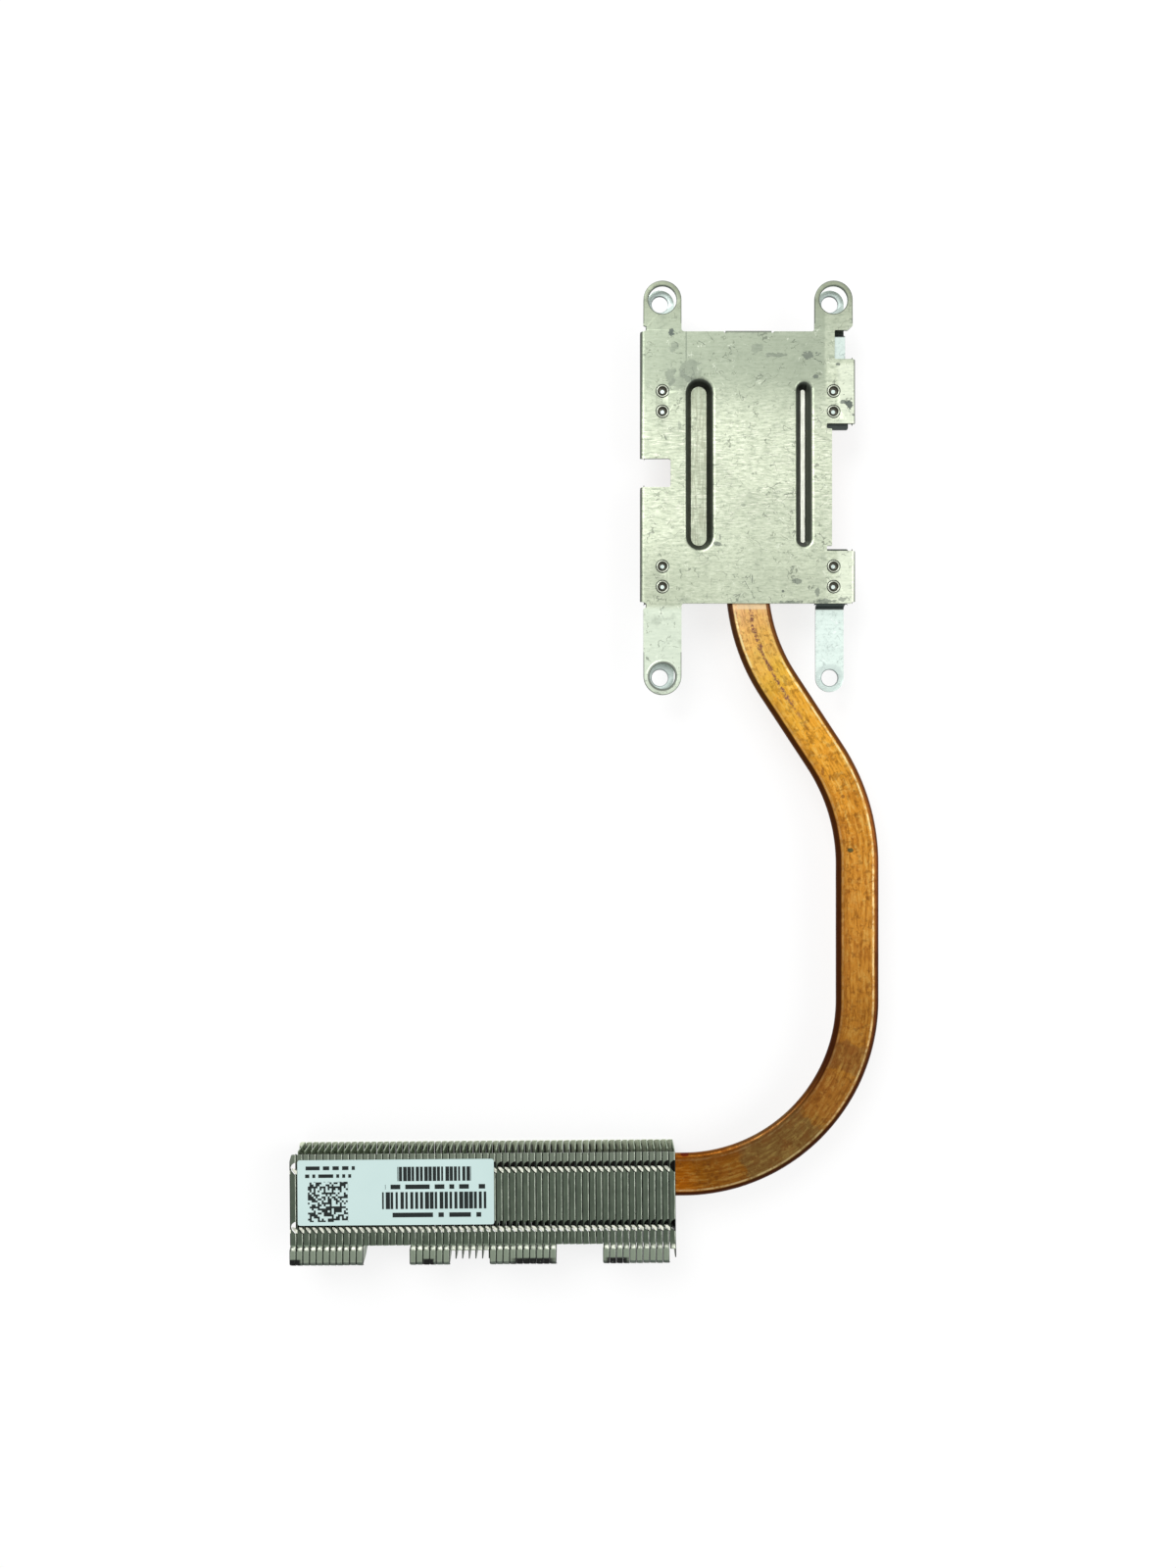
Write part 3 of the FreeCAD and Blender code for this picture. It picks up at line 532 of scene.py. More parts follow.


# %% [markdown]
# The cover is plated sheet: pale and slightly green, brushed along its width, greyer towards its upper
# and lower ends, with dark spots and fine scratches, and painted glints in the middle. Its steep faces,
# the rib walls and the bends, get painted shade, and so do the cut edges of the ears and holes.

# %% Finish: the cover's plated sheet
COVER_MARKS = [
    (-14.5, 30.5, 0.6, (1, 1), 0.9), (17.9, 24.15, 0.35, (1.2, 0.8), 0.8),
    (13.4, 21.75, 0.5, (1.3, 0.9), 0.7), (20.0, 16.4, 1.0, (0.7, 1.0), 0.9),
    (19.0, 17.0, 0.7, (1.3, 0.5), 0.75), (20.9, 14.4, 0.5, (1.0, 0.7), 0.7),
    (-10.8, 23.0, 1.8, (1.1, 1.3), 0.29), (-14.6, 21.8, 1.3, (0.8, 1.4), 0.34),
    (-12.6, 20.8, 1.6, (1.5, 1.0), 0.24), (10.9, -6.5, 0.4, (0.7, 2.2), 0.5),
    (-14.0, 27.4, 0.8, (1, 1.2), 0.3), (12.1, 26.0, 1.1, (1.3, 0.6), 0.6),
    (5.6, 26.0, 1.3, (1.7, 0.35), 0.4), (2.0, 27.2, 1.2, (1.0, 0.9), 0.25),
    (9.8, -17.9, 0.9, (1.3, 0.6), 0.6), (7.2, -19.8, 0.3, (1.0, 1.0), 0.8),
    (13.8, -19.9, 0.7, (0.7, 1.5), 0.55), (8.6, -22.1, 1.3, (1.8, 0.3), 0.6),
    (15.8, -21.8, 1.0, (1.8, 0.4), 0.6), (18.6, -21.4, 0.8, (1.6, 0.5), 0.55),
    (-5.4, -10.7, 0.6, (1.2, 0.7), 0.65), (-5.0, -9.2, 0.35, (0.5, 2.0), 0.5),
    (-12.8, 12.4, 0.5, (0.7, 1.5), 0.35), (1.2, -17.4, 0.3, (0.4, 2.6), 0.6),
    (-0.6, -3.2, 0.4, (1.2, 0.8), 0.35), (-9.6, 13.0, 0.5, (0.5, 3.0), 0.5),
]
COVER_SCRATCHES = [
    (5.9, 0.9, 1.0, -0.55), (8.2, -0.9, 1.2, -0.35), (0.2, -18.6, 1.0, 0.9), (1.4, -20.6, 0.9, 1.2),
    (3.4, 20.8, 0.8, -1.0), (14.0, 24.9, 1.0, 0.5), (-8.6, 28.4, 0.8, 0.4), (-15.6, 10.0, 0.7, 1.3),
]


def cover_finish():
    metal = Finish("plated_cover", 0.85, 0.42)
    x, y, z = metal.place.parts("XYZ", MM)
    lines = metal.group(BRUSHING, Amount=0.9)
    metal.colour = blend(lines, (0.47, 0.53, 0.39), (0.81, 0.87, 0.68))
    grain = noise(metal.place, 1.0, 5, 0.8, (650, 2100, 900))
    metal.lay((0.22, 0.27, 0.20), grain.rise(0.48, 0.66), 0.62)
    metal.lay((0.96, 1.0, 0.84), grain.rise(0.49, 0.34), 0.55)
    metal.blotch((0.40, 0.46, 0.34), 0.4, 48.0, 0.42, 0.25)
    metal.blotch((0.33, 0.37, 0.28), 0.35, 150.0, 0.5, 0.2)
    lay_cover_shading(metal, x, y)
    lay_cover_wear(metal, y)
    lay_cover_edges(metal, x, y)
    lay_cover_ribs(metal, x, y, z)
    metal.rough(lines, 0.36, 0.5)
    metal.bump(lines, 0.012, 0.5)
    return metal.done()


def lay_cover_shading(metal, x, y):
    """The broad tones: greyer above and below, paler on the tabs and the lower ear."""
    plate = x.rise(15.6, 14.6).larger(y.rise(23.6, 25.6, 0, 0.55))
    metal.lay((0.29, 0.34, 0.255), y.rise(11, 24) * plate, 0.74)
    metal.lay((0.36, 0.41, 0.30), y.rise(-9, -19) * plate, 0.35)
    metal.lay((0.86, 0.92, 0.76), x.rise(16.9, 17.9) * y.rise(24.5, 23.5), 0.45)
    metal.lay((0.76, 0.86, 0.74), y.rise(-22.5, -24), 0.5)


def lay_cover_wear(metal, y):
    """Grime, brush dashes with painted glints in the middle, hairlines, and the marks at their places."""
    metal.blotch((0.22, 0.26, 0.20), 0.45, 260.0, 0.58, 0.14)
    # Painted glints: bright brush dashes in the middle, with darker streaks between.
    brush_streaks_and_glints = noise(metal.place, 1.0, 3, 0.6, (420, 4200, 900))
    middle = abs(y - 3).rise(16, 7)
    metal.lay((1.0, 1.0, 0.86), brush_streaks_and_glints.rise(0.54, 0.66) * middle, 0.55)
    metal.lay((0.24, 0.28, 0.20), brush_streaks_and_glints.rise(0.44, 0.34) * middle, 0.35)
    metal.hairs((0.12, 0.14, 0.11), 0.6, 230.0, 0.010, 0.52)
    metal.hairs((0.14, 0.16, 0.12), 0.5, 410.0, 0.012, 0.55)
    metal.hairs((0.95, 1.0, 0.86), 0.35, 330.0, 0.009, 0.58)
    shift_x, shift_y = COVER_SHIFT
    for mark_x, mark_y, radius, stretch, share in COVER_MARKS:
        place = (mark_x - shift_x, mark_y - shift_y, 0)
        metal.mark((0.09, 0.11, 0.10), share, place, radius, stretch, 1.15)
    for mark_x, mark_y, length, turn in COVER_SCRATCHES:
        centre = ((mark_x - shift_x) * MM, (mark_y - shift_y) * MM, 0)
        scratch = metal.group(SCRATCH, Centre=centre, Length=length * MM, Turn=turn)
        metal.lay((0.10, 0.12, 0.10), scratch, 0.7)


def lay_cover_edges(metal, x, y):
    """The ears' tops are greyer, and painted shade darkens the cut edges of their outlines and holes."""
    metal.lay((0.25, 0.28, 0.20), y.rise(30.0, 39.0), 0.75)
    # Painted shade on the cut edges of the ears' outlines and holes.
    off_x, off_y = abs(x) - SCREW_X, abs(y) - SCREW_Y
    from_leg = distance(off_x, off_y.larger(0.0))
    outline = from_leg.rise(3.48, 3.6) * off_y.past(-4.6)
    edge_shade = distance(off_x, off_y).rise(2.96, 2.86).larger(outline)
    metal.lay((0.085, 0.10, 0.085), edge_shade, 0.75)


def lay_cover_ribs(metal, x, y, z):
    """The ribs' floors are streaked, the narrow one's pale; their steep walls and bends get painted
    shade.
    """
    floors = z.rise(-1.8, -1.87)
    streaks = noise(metal.place, 1.0, 4, 0.65, (2600, 260, 1))
    metal.lay((0.34, 0.36, 0.26), floors * streaks.rise(0.42, 0.6, 0.1, 0.7))
    narrow = floors * x.past(0.0) * streaks.rise(0.42, 0.6, 0.85, 0.55)
    metal.lay((0.98, 1.0, 0.90), narrow)
    # Painted shade on steep faces, darker the deeper they go and lighter from the narrow rib's right wall
    # rightwards.
    painted_wall_shade = blend(z.rise(-0.15, -1.0), (0.10, 0.115, 0.095), (0.010, 0.012, 0.010))
    painted_wall_shade = blend(x.rise(11.4, 11.6) * 0.5, painted_wall_shade, (0.22, 0.25, 0.20))
    faint = abs(x + 12.0).rise(0.16, 0.08) * y.rise(24.6, 25.4)
    metal.lay((0.16, 0.19, 0.15), faint, 0.55)
    metal.lay(painted_wall_shade, metal.steepness(), 0.96)


COVER_METAL = cover_finish()


# %% [markdown]
# The spring arms are bare spring steel with a cold, bright look. Painted shadow darkens them where they
# step down and pass under the cover's edges, and painted shade lies round their eyes and on steep faces.
# The rivets are the same pale metal with dark brown cups and a dark line where they meet the sheet.

# %% Finishes: spring arms and rivets
RIVET_APART = 3.95


def arm_finish():
    metal = Finish("spring_steel", 0.9, 0.4)
    x, y = metal.place.parts("XY", MM)
    lines = metal.group(BRUSHING, Amount=0.8)
    metal.colour = blend(lines, (0.63, 0.75, 0.69), (0.86, 0.98, 0.92))
    metal.lay((0.40, 0.48, 0.45), noise(metal.place, 1500, 4, 0.7).rise(0.48, 0.68), 0.4)
    metal.hairs((0.30, 0.36, 0.34), 0.45, 260.0, 0.012, 0.53)
    metal.hairs((1.0, 1.0, 1.0), 0.5, 380.0, 0.012, 0.55)
    # Painted shade round each eye and on its cut edge.
    from_eye = distance(x, abs(y) - SCREW_Y)
    metal.lay((0.42, 0.50, 0.48), from_eye.rise(2.9, 2.5), 0.35)
    metal.lay((0.14, 0.17, 0.17), from_eye.rise(1.82, 1.7), 0.7)
    metal.lay((0.42, 0.50, 0.47), y.rise(20, 24), 0.3)
    # Painted shadow in bands where the arm steps down and passes under the cover's edges.
    for middle, half in ((-22.55, 0.62), (30.75, 1.1), (12.15, 0.65), (-11.9, 0.5)):
        metal.lay((0.03, 0.036, 0.033), abs(y - middle).rise(half * 1.15, half * 0.85), 0.96)
    # Painted shade on steep faces.
    metal.lay((0.05, 0.06, 0.06), metal.steepness(), 0.9)
    metal.rough(lines, 0.35, 0.48)
    return metal.done()


def rivet_finish():
    metal = Finish("rivet_metal", 0.9, 0.36)
    x, y = metal.place.parts("XY", MM)
    radius = distance(x, abs(y) - RIVET_APART / 2)
    metal.colour = (0.56, 0.60, 0.49)
    metal.blotch((0.22, 0.23, 0.18), 0.4, 900.0, 0.5, 0.2)
    metal.lay((0.060, 0.054, 0.040), radius.rise(0.98, 0.88), 0.93)
    metal.lay((0.05, 0.055, 0.045), radius.rise(1.12, 1.2), 0.93)
    return metal.done()


ARM_METAL, RIVET_METAL = arm_finish(), rivet_finish()


# %% [markdown]
# Copper that has been handled and heated: orange near the plate and browner towards the fins, partly its
# own colour and partly a painted fall-off of the light, with zones of brown, orange and olive on the last
# bend. It is mottled all over, with long streaks that follow the pipe and painted glints; a painted
# reflection shines where it leaves the cover, and painted shade lies on its left side and round sides.
# The streaks need to know which way the pipe runs, so its skin carries a map: across in X and along in Y,
# each from 0 to 1. Inside the row of fins the copper is painted black, as shade.

# %% Finish: the pipe's copper
COPPER_TONES_AND_FALLOFF = (
    (0.20, (1.0, 0.58, 0.29)), (0.235, (1.0, 0.57, 0.15)), (0.26, (1.0, 0.58, 0.07)),
    (0.30, (1.0, 0.46, 0.045)), (0.36, (0.80, 0.33, 0.036)), (0.45, (0.64, 0.265, 0.036)),
    (0.56, (0.43, 0.178, 0.024)), (0.64, (0.26, 0.118, 0.024)), (0.69, (0.30, 0.104, 0.008)),
    (0.72, (0.46, 0.13, 0.004)),
)
PIPE_BANDS = (
    (0.552, 0.577, 0.5, (0.17, 0.075, 0.028)), (0.577, 0.617, 0.6, (0.38, 0.15, 0.026)),
    (0.617, 0.681, 0.85, (0.205, 0.118, 0.034)),
)
PIPE_MARKS = (
    (20.35, -70.1, 0.5, (1.1, 0.9), 0.9, (0.07, 0.075, 0.03)),
    (-11.9, -129.3, 0.55, (1.5, 0.8), 0.9, (0.14, 0.012, 0.004)),
    (15.0, -54.8, 0.5, (0.6, 1.6), 0.6, (0.20, 0.07, 0.02)),
    (16.4, -56.0, 0.4, (0.6, 1.6), 0.5, (0.20, 0.07, 0.02)),
    (18.9, -59.7, 0.35, (1.0, 1.0), 0.6, (0.16, 0.06, 0.02)),
)
PAINTED_BLACK_FROM = 0.7203


def copper_finish():
    metal = Finish("tarnished_copper", 1.0, 0.36)
    run = metal.read("ShaderNodeUVMap", "UV", uv_map="run")
    across, along = run.parts("XY")
    drift = (noise(metal.place, 70, 3, 0.5) - 0.5) * 0.12
    # The tone along the pipe: partly the copper's own, partly a painted fall-off of the light towards the
    # fins.
    clean = colour_ramp(along + drift, COPPER_TONES_AND_FALLOFF)
    uneven = along + noise(metal.place, 420, 4, 0.7) * 0.02
    for start, end, share, shade in PIPE_BANDS:
        band = uneven.rise(start, start + 0.004) * uneven.rise(end, end - 0.004)
        clean = blend(band * share, clean, shade)
    dark = blend(along.rise(0.24, 0.34, 0.55, 0.72), clean, (0.13, 0.032, 0.006))
    bright = blend(along.rise(0.3, 0.55, 0.6, 0.2), clean, (1.0, 0.76, 0.22))
    metal.colour = clean
    metal.blotch(dark, 0.22, 95.0, 0.46, 0.16)
    streaks = noise(run, 1.0, 5, 0.65, (15, 70, 1))
    metal.lay(dark, streaks.rise(0.49, 0.62), 0.6)
    metal.lay(bright, streaks.rise(0.49, 0.37), 0.6)
    patches = metal.blotch(dark, 0.4, 380.0, 0.5, 0.1)
    metal.blotch((0.13, 0.04, 0.008), 0.42, 1000.0, 0.53, 0.08)
    # Painted glints.
    metal.blotch(bright, 0.4, 900.0, 0.55, 0.1)
    # Painted shade on the left side from the first bend on.
    metal.lay(dark, across.rise(0.34, 0.14) * along.rise(0.24, 0.28), 0.5)
    edge = abs(across - 0.5)
    wobble = noise(run, 1.0, 6, 0.8, (14, 120, 1))
    seam = (edge + wobble * -0.42).rise(-0.14, -0.2) * along.rise(0.31, 0.27)
    gaps = noise(run, 1.0, 4, 0.7, (6, 260, 1)).rise(0.42, 0.54)
    metal.lay((0.24, 0.10, 0.075), seam * gaps)
    for mark_x, mark_y, radius, stretch, share, shade in PIPE_MARKS:
        metal.mark(shade, share, (mark_x, mark_y, PIPE_TOP), radius, stretch, 0.5)
    # A painted reflection of the cover's edge where the pipe comes out from under it.
    [y] = metal.place.parts("Y", MM)
    cover_edge_reflection = y.rise(-23.4, -23.15)
    metal.lay((1.0, 0.76, 0.46), cover_edge_reflection * patches.rise(0.8, 0.2, 0.5, 1), 0.75)
    lay_pipe_sides(metal, across, along, clean)
    # Painted shade: the copper inside the row of fins is black.
    metal.lay((0.010, 0.009, 0.008), along.rise(PAINTED_BLACK_FROM, PAINTED_BLACK_FROM + 0.001))
    metal.rough(patches, 0.3, 0.44)
    metal.bump(noise(run, 1.0, 5, 0.6, (30, 260, 1)), 0.035, 0.6)
    return metal.done()


def lay_pipe_sides(metal, across, along, clean):
    """A broken painted highlight where the flat ends, then painted shade on the round side."""
    edge = abs(across - 0.5)
    rim = edge.rise(0.322, 0.345) * edge.rise(0.382, 0.366)
    broken = noise(metal.place, 700, 3, 0.7).rise(0.36, 0.58, 0.2, 1.0)
    left = across.rise(0.5, 0.4)
    right = across.rise(0.5, 0.6)
    lit = (left * along.rise(0.26, 0.235)).larger(right * along.rise(0.235, 0.26)).larger(0.2)
    # Painted highlight along the rim.
    glow = blend(along.rise(0.3, 0.6, 0.9, 0.4), clean, (1.0, 0.84, 0.42))
    metal.lay(glow, rim * broken * lit)
    # Painted shade on the round sides.
    kept = across.rise(0.5, 0.3) * along.rise(0.56, 0.65) * -0.8 + 0.96
    shadow = blend(right * along.rise(0.5, 0.4), (0.050, 0.012, 0.004), (0.12, 0.034, 0.008))
    metal.lay(shadow, edge.rise(0.368, 0.402) * kept)


COPPER = copper_finish()


# %% [markdown]
# The block under the cover is the same copper, machined flat and bare, and the
# wick is matt. They get a plain copper without the map, since they have none.

# %% Finishes: the block and the wick
def plain_copper(name, shade, roughness):
    metal = Finish(name, 1.0, roughness)
    metal.colour = shade
    patches = metal.blotch(tuple(part * 0.45 for part in shade), 0.5, 180.0, 0.5, 0.2)
    metal.rough(patches, roughness, roughness + 0.12)
    return metal.done()


BLOCK_COPPER = plain_copper("machined_copper", (0.76, 0.36, 0.15), 0.3)
WICK_COPPER = plain_copper("wick_copper", (0.42, 0.18, 0.08), 0.7)


# %% [markdown]
# The fins are dull sheet that looks olive grey. Their bends and the zip's tongues get painted highlights,
# the seams between them painted shade with some dirt, their rear ends and front tabs are lighter, with
# painted light on the web and foot at the rear, and some tab tips are darker. The fins' map keeps each
# point's place on the flat blank, so the finish can find the bends: across the blank in X, along the fin
# in Y.

# %% Finish: the fins' dull sheet
FIN_BEND = 0.3
BEND_RUN = FIN_BEND * math.pi / 2
FREE = -(ROW_PITCH - 0.02 - FIN_BEND)
FIN_HEIGHT = 9.49
FOOT_AT = BEND_RUN + FIN_HEIGHT - 2 * FIN_BEND
FOOT_END = FOOT_AT + BEND_RUN - FREE
ZIP_ROWS = (1.85, 13.3)
DARK_TIP_PLACES = ((-87.5, 1.5), (-61.5, 1.3), (-41.2, 4.9), (-25.0, 2.6))
SEAM_DIRT_AND_SHADE = (0.010, 0.014, 0.010)


def fin_finish():
    metal = Finish("dull_fin_sheet", 0.7, 0.4)
    right, forward = metal.read("ShaderNodeUVMap", "UV", uv_map="blank").parts("XY")
    across, depth = right * CHART, forward * -CHART
    place = metal.read("ShaderNodeNewGeometry", "Position")
    cloud = noise(place, 420, 4, 0.6)
    fin_mottle = noise(place, 1500, 3, 0.6)
    metal.colour = blend(cloud, (0.052, 0.071, 0.049), (0.112, 0.146, 0.104))
    grain = noise(place, 1.0, 3, 0.6, (3500, 160, 300))
    metal.lay((0.20, 0.24, 0.18), grain.rise(0.5, 0.7), 0.35)
    lay_fin_rear(metal, across, depth)
    lay_fin_tab(metal, across, depth, fin_mottle)
    # Painted highlight along each bend.
    painted_bend_highlight = noise(place, 600, 3, 0.6).rise(0.3, 0.65, 0.5, 1) * depth.rise(17.6, 15.6, 0.2, 1)
    metal.lay((0.56, 0.62, 0.51), abs(across - 0.14).rise(0.11, 0.05) * painted_bend_highlight, 0.82)
    # Painted shade where the sheet falls away past the bend.
    past_bend = across - depth.rise(17.0, 18.0, 0.24, 0.14)
    metal.lay((0.010, 0.013, 0.010), past_bend.rise(0.0, 0.06) * across.rise(0.95, 0.7), 0.92)
    # Painted shade with some dirt in the seam by each free edge.
    metal.lay(SEAM_DIRT_AND_SHADE, abs(across - (FREE + 0.02)).rise(0.13, 0.06), 0.94)
    lay_zip(metal, across, depth, fin_mottle)
    [x] = place.parts("X", MM)
    # Some tab tips are darker at these places along the row.
    tips = depth.rise(20.0, 20.35) * fin_mottle.rise(0.25, 0.4)
    for middle, half in DARK_TIP_PLACES:
        metal.lay((0.010, 0.011, 0.010), abs(x - middle).rise(half, half * 0.6) * tips)
    metal.rough(cloud, 0.34, 0.46)
    return metal.done()


def lay_fin_rear(metal, across, depth):
    """Lighter rear ends, painted light on the web and foot, painted shade in a slit and deep inside."""
    [up] = metal.read("ShaderNodeNewGeometry", "Normal").parts("Z")
    # Lighter rear ends; painted light on the web and foot near the rear; painted shade in the slit and
    # deeper inside.
    metal.lay((0.19, 0.225, 0.17), depth.rise(2.15, 1.7), 0.8)
    metal.lay((0.34, 0.42, 0.29), across.past(BEND_RUN + 0.2) * depth.rise(4.5, 2.0), 0.78)
    on_foot = across.rise(FOOT_AT, FOOT_AT + 0.2)
    metal.lay((0.93, 1.0, 0.78), on_foot * depth.rise(6.0, 3.0), 0.95)
    slit = across.rise(FOOT_END - 0.42, FOOT_END - 0.25) * depth.rise(0.5, 1.1)
    metal.lay((0.012, 0.016, 0.012), slit, 0.9)
    metal.lay((0.008, 0.010, 0.008), depth.rise(2.9, 3.2) * up.past(0.5) * on_foot, 0.95)


def lay_fin_tab(metal, across, depth, fin_mottle):
    """The tab in front: lighter, with a painted highlight on its crease, painted shade in its notch, and
    a painted highlight and painted shade at its tip.
    """
    metal.lay((0.275, 0.33, 0.25), depth.rise(17.9, 18.3), 0.85)
    crease = abs(depth - 18.15)
    # Painted highlight on the crease; painted shade in the notch.
    shine = crease.rise(0.44, 0.18) * fin_mottle.rise(0.4, 0.6, 0.3, 0.9)
    metal.lay((0.95, 1.0, 0.84), shine * across.rise(-0.72, -0.32, 0.15, 1))
    metal.lay(SEAM_DIRT_AND_SHADE, across.rise(FREE + 0.34, FREE + 0.18) * crease.rise(0.5, 0.3))
    # Painted highlight and painted shade at the tip.
    metal.lay((0.50, 0.54, 0.42), depth.rise(20.5, 20.8) * fin_mottle.rise(0.42, 0.6), 0.4)
    metal.lay((0.035, 0.05, 0.05), depth.rise(20.68, 20.85), 0.7)


def lay_zip(metal, across, depth, fin_mottle):
    """The rows of cuts get painted shade inside, their tongues and hinges painted highlights."""
    free_part = across.rise(FREE, FREE - 0.06)
    for start in ZIP_ROWS:
        hinge = abs(depth - (start + 1.58)).rise(0.42, 0.28) * across.rise(FREE + 0.2, FREE + 0.1)
        free_part = free_part.larger(hinge)
        # Painted shade inside the cuts.
        pit = abs(depth - (start + 1.6)).rise(1.3, 1.0) * across.rise(0.5, 0.6)
        metal.lay((0.010, 0.012, 0.010), pit * across.rise(FOOT_AT, FOOT_AT - 0.2), 0.9)
    # Painted highlights on the tongues and hinges.
    metal.lay((0.97, 1.0, 0.85), free_part * fin_mottle.rise(0.35, 0.55, 0.55, 1))


FIN_METAL = fin_finish()


# %% [markdown]
# The label is matt paper with a plain print: bar strips, rows of dashes and a
# speckled square. The print comes from white noise read in steps, so nothing on
# it can be read as words or a code.

# %% Finish: the paper label
LABEL_SIZE = (38.1, 12.7)
PRINT_BARS = (((19.4, 33.7, -4.2, -1.4), 0.82, 11), ((16.4, 36.6, -9.6, -6.3), 0.95, 27))
PRINT_CELLS = (
    ((2.0, 9.8, -12.0, -4.2), 0.39, 0.39, 0.52, 3), ((1.6, 11.4, -1.95, -1.2), 0.62, 0, 0.68, 5),
    ((1.5, 11.2, -3.45, -2.75), 0.58, 0, 0.72, 8), ((17.0, 36.4, -5.75, -4.85), 0.95, 0, 0.7, 6),
    ((18.4, 35.6, -11.2, -10.3), 1.05, 0, 0.76, 14),
)


def in_field(x, y, field):
    """1 inside a field of the label, given by its sides."""
    low_x, high_x, low_y, high_y = field
    return x.past(low_x) * x.short_of(high_x) * y.past(low_y) * y.short_of(high_y)


def drawn(column, row, seed):
    """A number from 0 to 1 for each cell, drawn the same way in every run."""
    joined = add_node(column.tree, "ShaderNodeCombineXYZ")
    for value, socket in zip((column, row, seed), joined.inputs):
        feed(value, socket)
    dice = add_node(column.tree, "ShaderNodeTexWhiteNoise")
    feed(Wire(joined.outputs[0]), dice.inputs["Vector"])
    return Wire(dice.outputs["Value"])


def cells(x, y, field, step_x, step_y, share, seed):
    """Random cells inside a field; with no step in Y they are dashes."""
    row = (y / step_y).math("FLOOR") if step_y else 0
    return drawn((x / step_x).math("FLOOR"), row, seed).short_of(share) * in_field(x, y, field)


def bars(x, y, field, step, seed):
    """One upright bar in each step, of a width drawn at random."""
    steps = x / step
    number = steps.math("FLOOR")
    width = drawn(number, 0, seed) * 0.45 + 0.46
    return (steps - number).short_of(width) * in_field(x, y, field)


def paper_finish():
    paper = Finish("label_paper", 0.0, 0.6)
    feed(0.15, paper.shader.inputs["Specular IOR Level"])
    x, y = paper.place.parts("XY", MM)
    paper.colour = blend(noise(paper.place, 60, 3, 0.5), (0.46, 0.60, 0.58), (0.56, 0.70, 0.68))
    ink = [bars(x, y, *row) for row in PRINT_BARS] + [cells(x, y, *row) for row in PRINT_CELLS]
    for field in ink:
        paper.lay((0.004, 0.006, 0.006), field, 0.98)
    return paper.done()


PAPER = paper_finish()


# %% [markdown]
# The cover is one pressed sheet: two side lips and a small top lip fold down,
# three ears carry large holes, two long ribs go down onto the block. Its blank
# is drawn flat with the lips laid out, and then folded.

# %% The cover's blank
FOLD = 0.8
FOLD_RUN = FOLD * math.pi / 2
LIP_STRAIGHT = 1.2
FLAT_X = 20.1
LIP_X = FLAT_X + FOLD_RUN + LIP_STRAIGHT
TOP_STEP = 29.85
TOP_LIP = TOP_STEP + FOLD_RUN + LIP_STRAIGHT
TOP_LIP_ENDS = (-4.3, 4.6)
EAR = 3.69
EAR_HOLE, LOW_HOLE = 2.75, 2.62
RIVET_HOLE = 1.33
RIVET_ROW = 17.0


def sharp(points):
    """Corners for eased() that stay as they are."""
    return [(x, y, 0) for x, y in points]


def cover_outline():
    """The blank's edge, from the lower left ear round to the right."""
    corners = sharp(arc((-SCREW_X, -SCREW_Y), EAR, 180, 360, 20))
    corners += [(-12.9, -22.4, 0.6), (20.0, -22.4, 0.2), (20.25, -22.1, 0), (LIP_X, -21.9, 0.3),
                (LIP_X, -12.5, 0.3), (20.3, -12.2, 0), (15.3, -12.2, 0.2), (15.3, -11.2, 0.3),
                (16.3, -11.2, 0.1), (16.3, 11.5, 0.1), (15.3, 11.5, 0.3), (15.3, 12.5, 0.2),
                (20.3, 12.5, 0), (LIP_X, 12.8, 0.3), (LIP_X, 24.7, 0.3), (20.3, 25.0, 0),
                (16.8, 25.0, 0.35), (16.8, 30.6, 0.25), (19.4, 30.6, 0.15), (20.3, 31.5, 0.15)]
    corners += sharp(arc((SCREW_X, SCREW_Y), EAR, 0, 180, 20))
    left, right = TOP_LIP_ENDS
    corners += [(12.9, 30.35, 0.6), (right + 0.45, 30.35, 0.1), (right + 0.3, 30.1, 0.1),
                (right, 30.1, 0), (right, TOP_LIP, 0.3), (left, TOP_LIP, 0.3), (left, 30.1, 0),
                (left - 0.3, 30.1, 0.1), (left - 0.45, 30.35, 0.1), (-12.9, 30.35, 0.6)]
    corners += sharp(arc((-SCREW_X, SCREW_Y), EAR, 0, 180, 20))
    corners += [(-20.3, 31.5, 0.15), (-19.7, 31.3, 0.1), (-19.7, 30.6, 0.1), (-20.2, 30.35, 0),
                (-LIP_X, 30.2, 0.3), (-LIP_X, 6.0, 0.3), (-20.2, 5.7, 0), (-15.0, 5.7, 0.5),
                (-15.0, 0.15, 0.5), (-20.2, 0.15, 0), (-LIP_X, -0.1, 0.3), (-LIP_X, -21.9, 0.3),
                (-20.2, -22.2, 0), (-19.7, -22.5, 0.1), (-19.7, -23.2, 0.1), (-20.3, -23.4, 0.15)]
    return eased(corners)


RIBS = (((-9.42, 4.6), 5.35, 33.4), ((10.87, 4.6), 3.15, 32.2))
RIB_PROFILE = ((0.5, 0.0), (0.32, 0.02), (0.14, 0.07), (-0.04, 0.18), (-0.2, 0.36), (-0.42, 0.70),
               (-0.72, 1.22), (-0.96, 1.62), (-1.08, 1.78), (-1.16, 1.87), (-1.22, PIPE_THICK))
RIVETS = [(sx * SCREW_X, sy * RIVET_ROW + dy * RIVET_APART / 2 - COVER_SHIFT[1])
          for sx in (-1, 1) for sy in (-1, 1) for dy in (-1, 1)]
EARS = [(-SCREW_X, SCREW_Y), (SCREW_X, SCREW_Y), (-SCREW_X, -SCREW_Y)]
print("rivets through the cover:", len(RIVETS))


# %% [markdown]
# The form of the cover is a small function from the blank to space. A rib is
# deep by its distance from the rib's edge, a lip turns down round the fold's
# radius, and the lower left hole has a slightly raised rim, as in the photo.

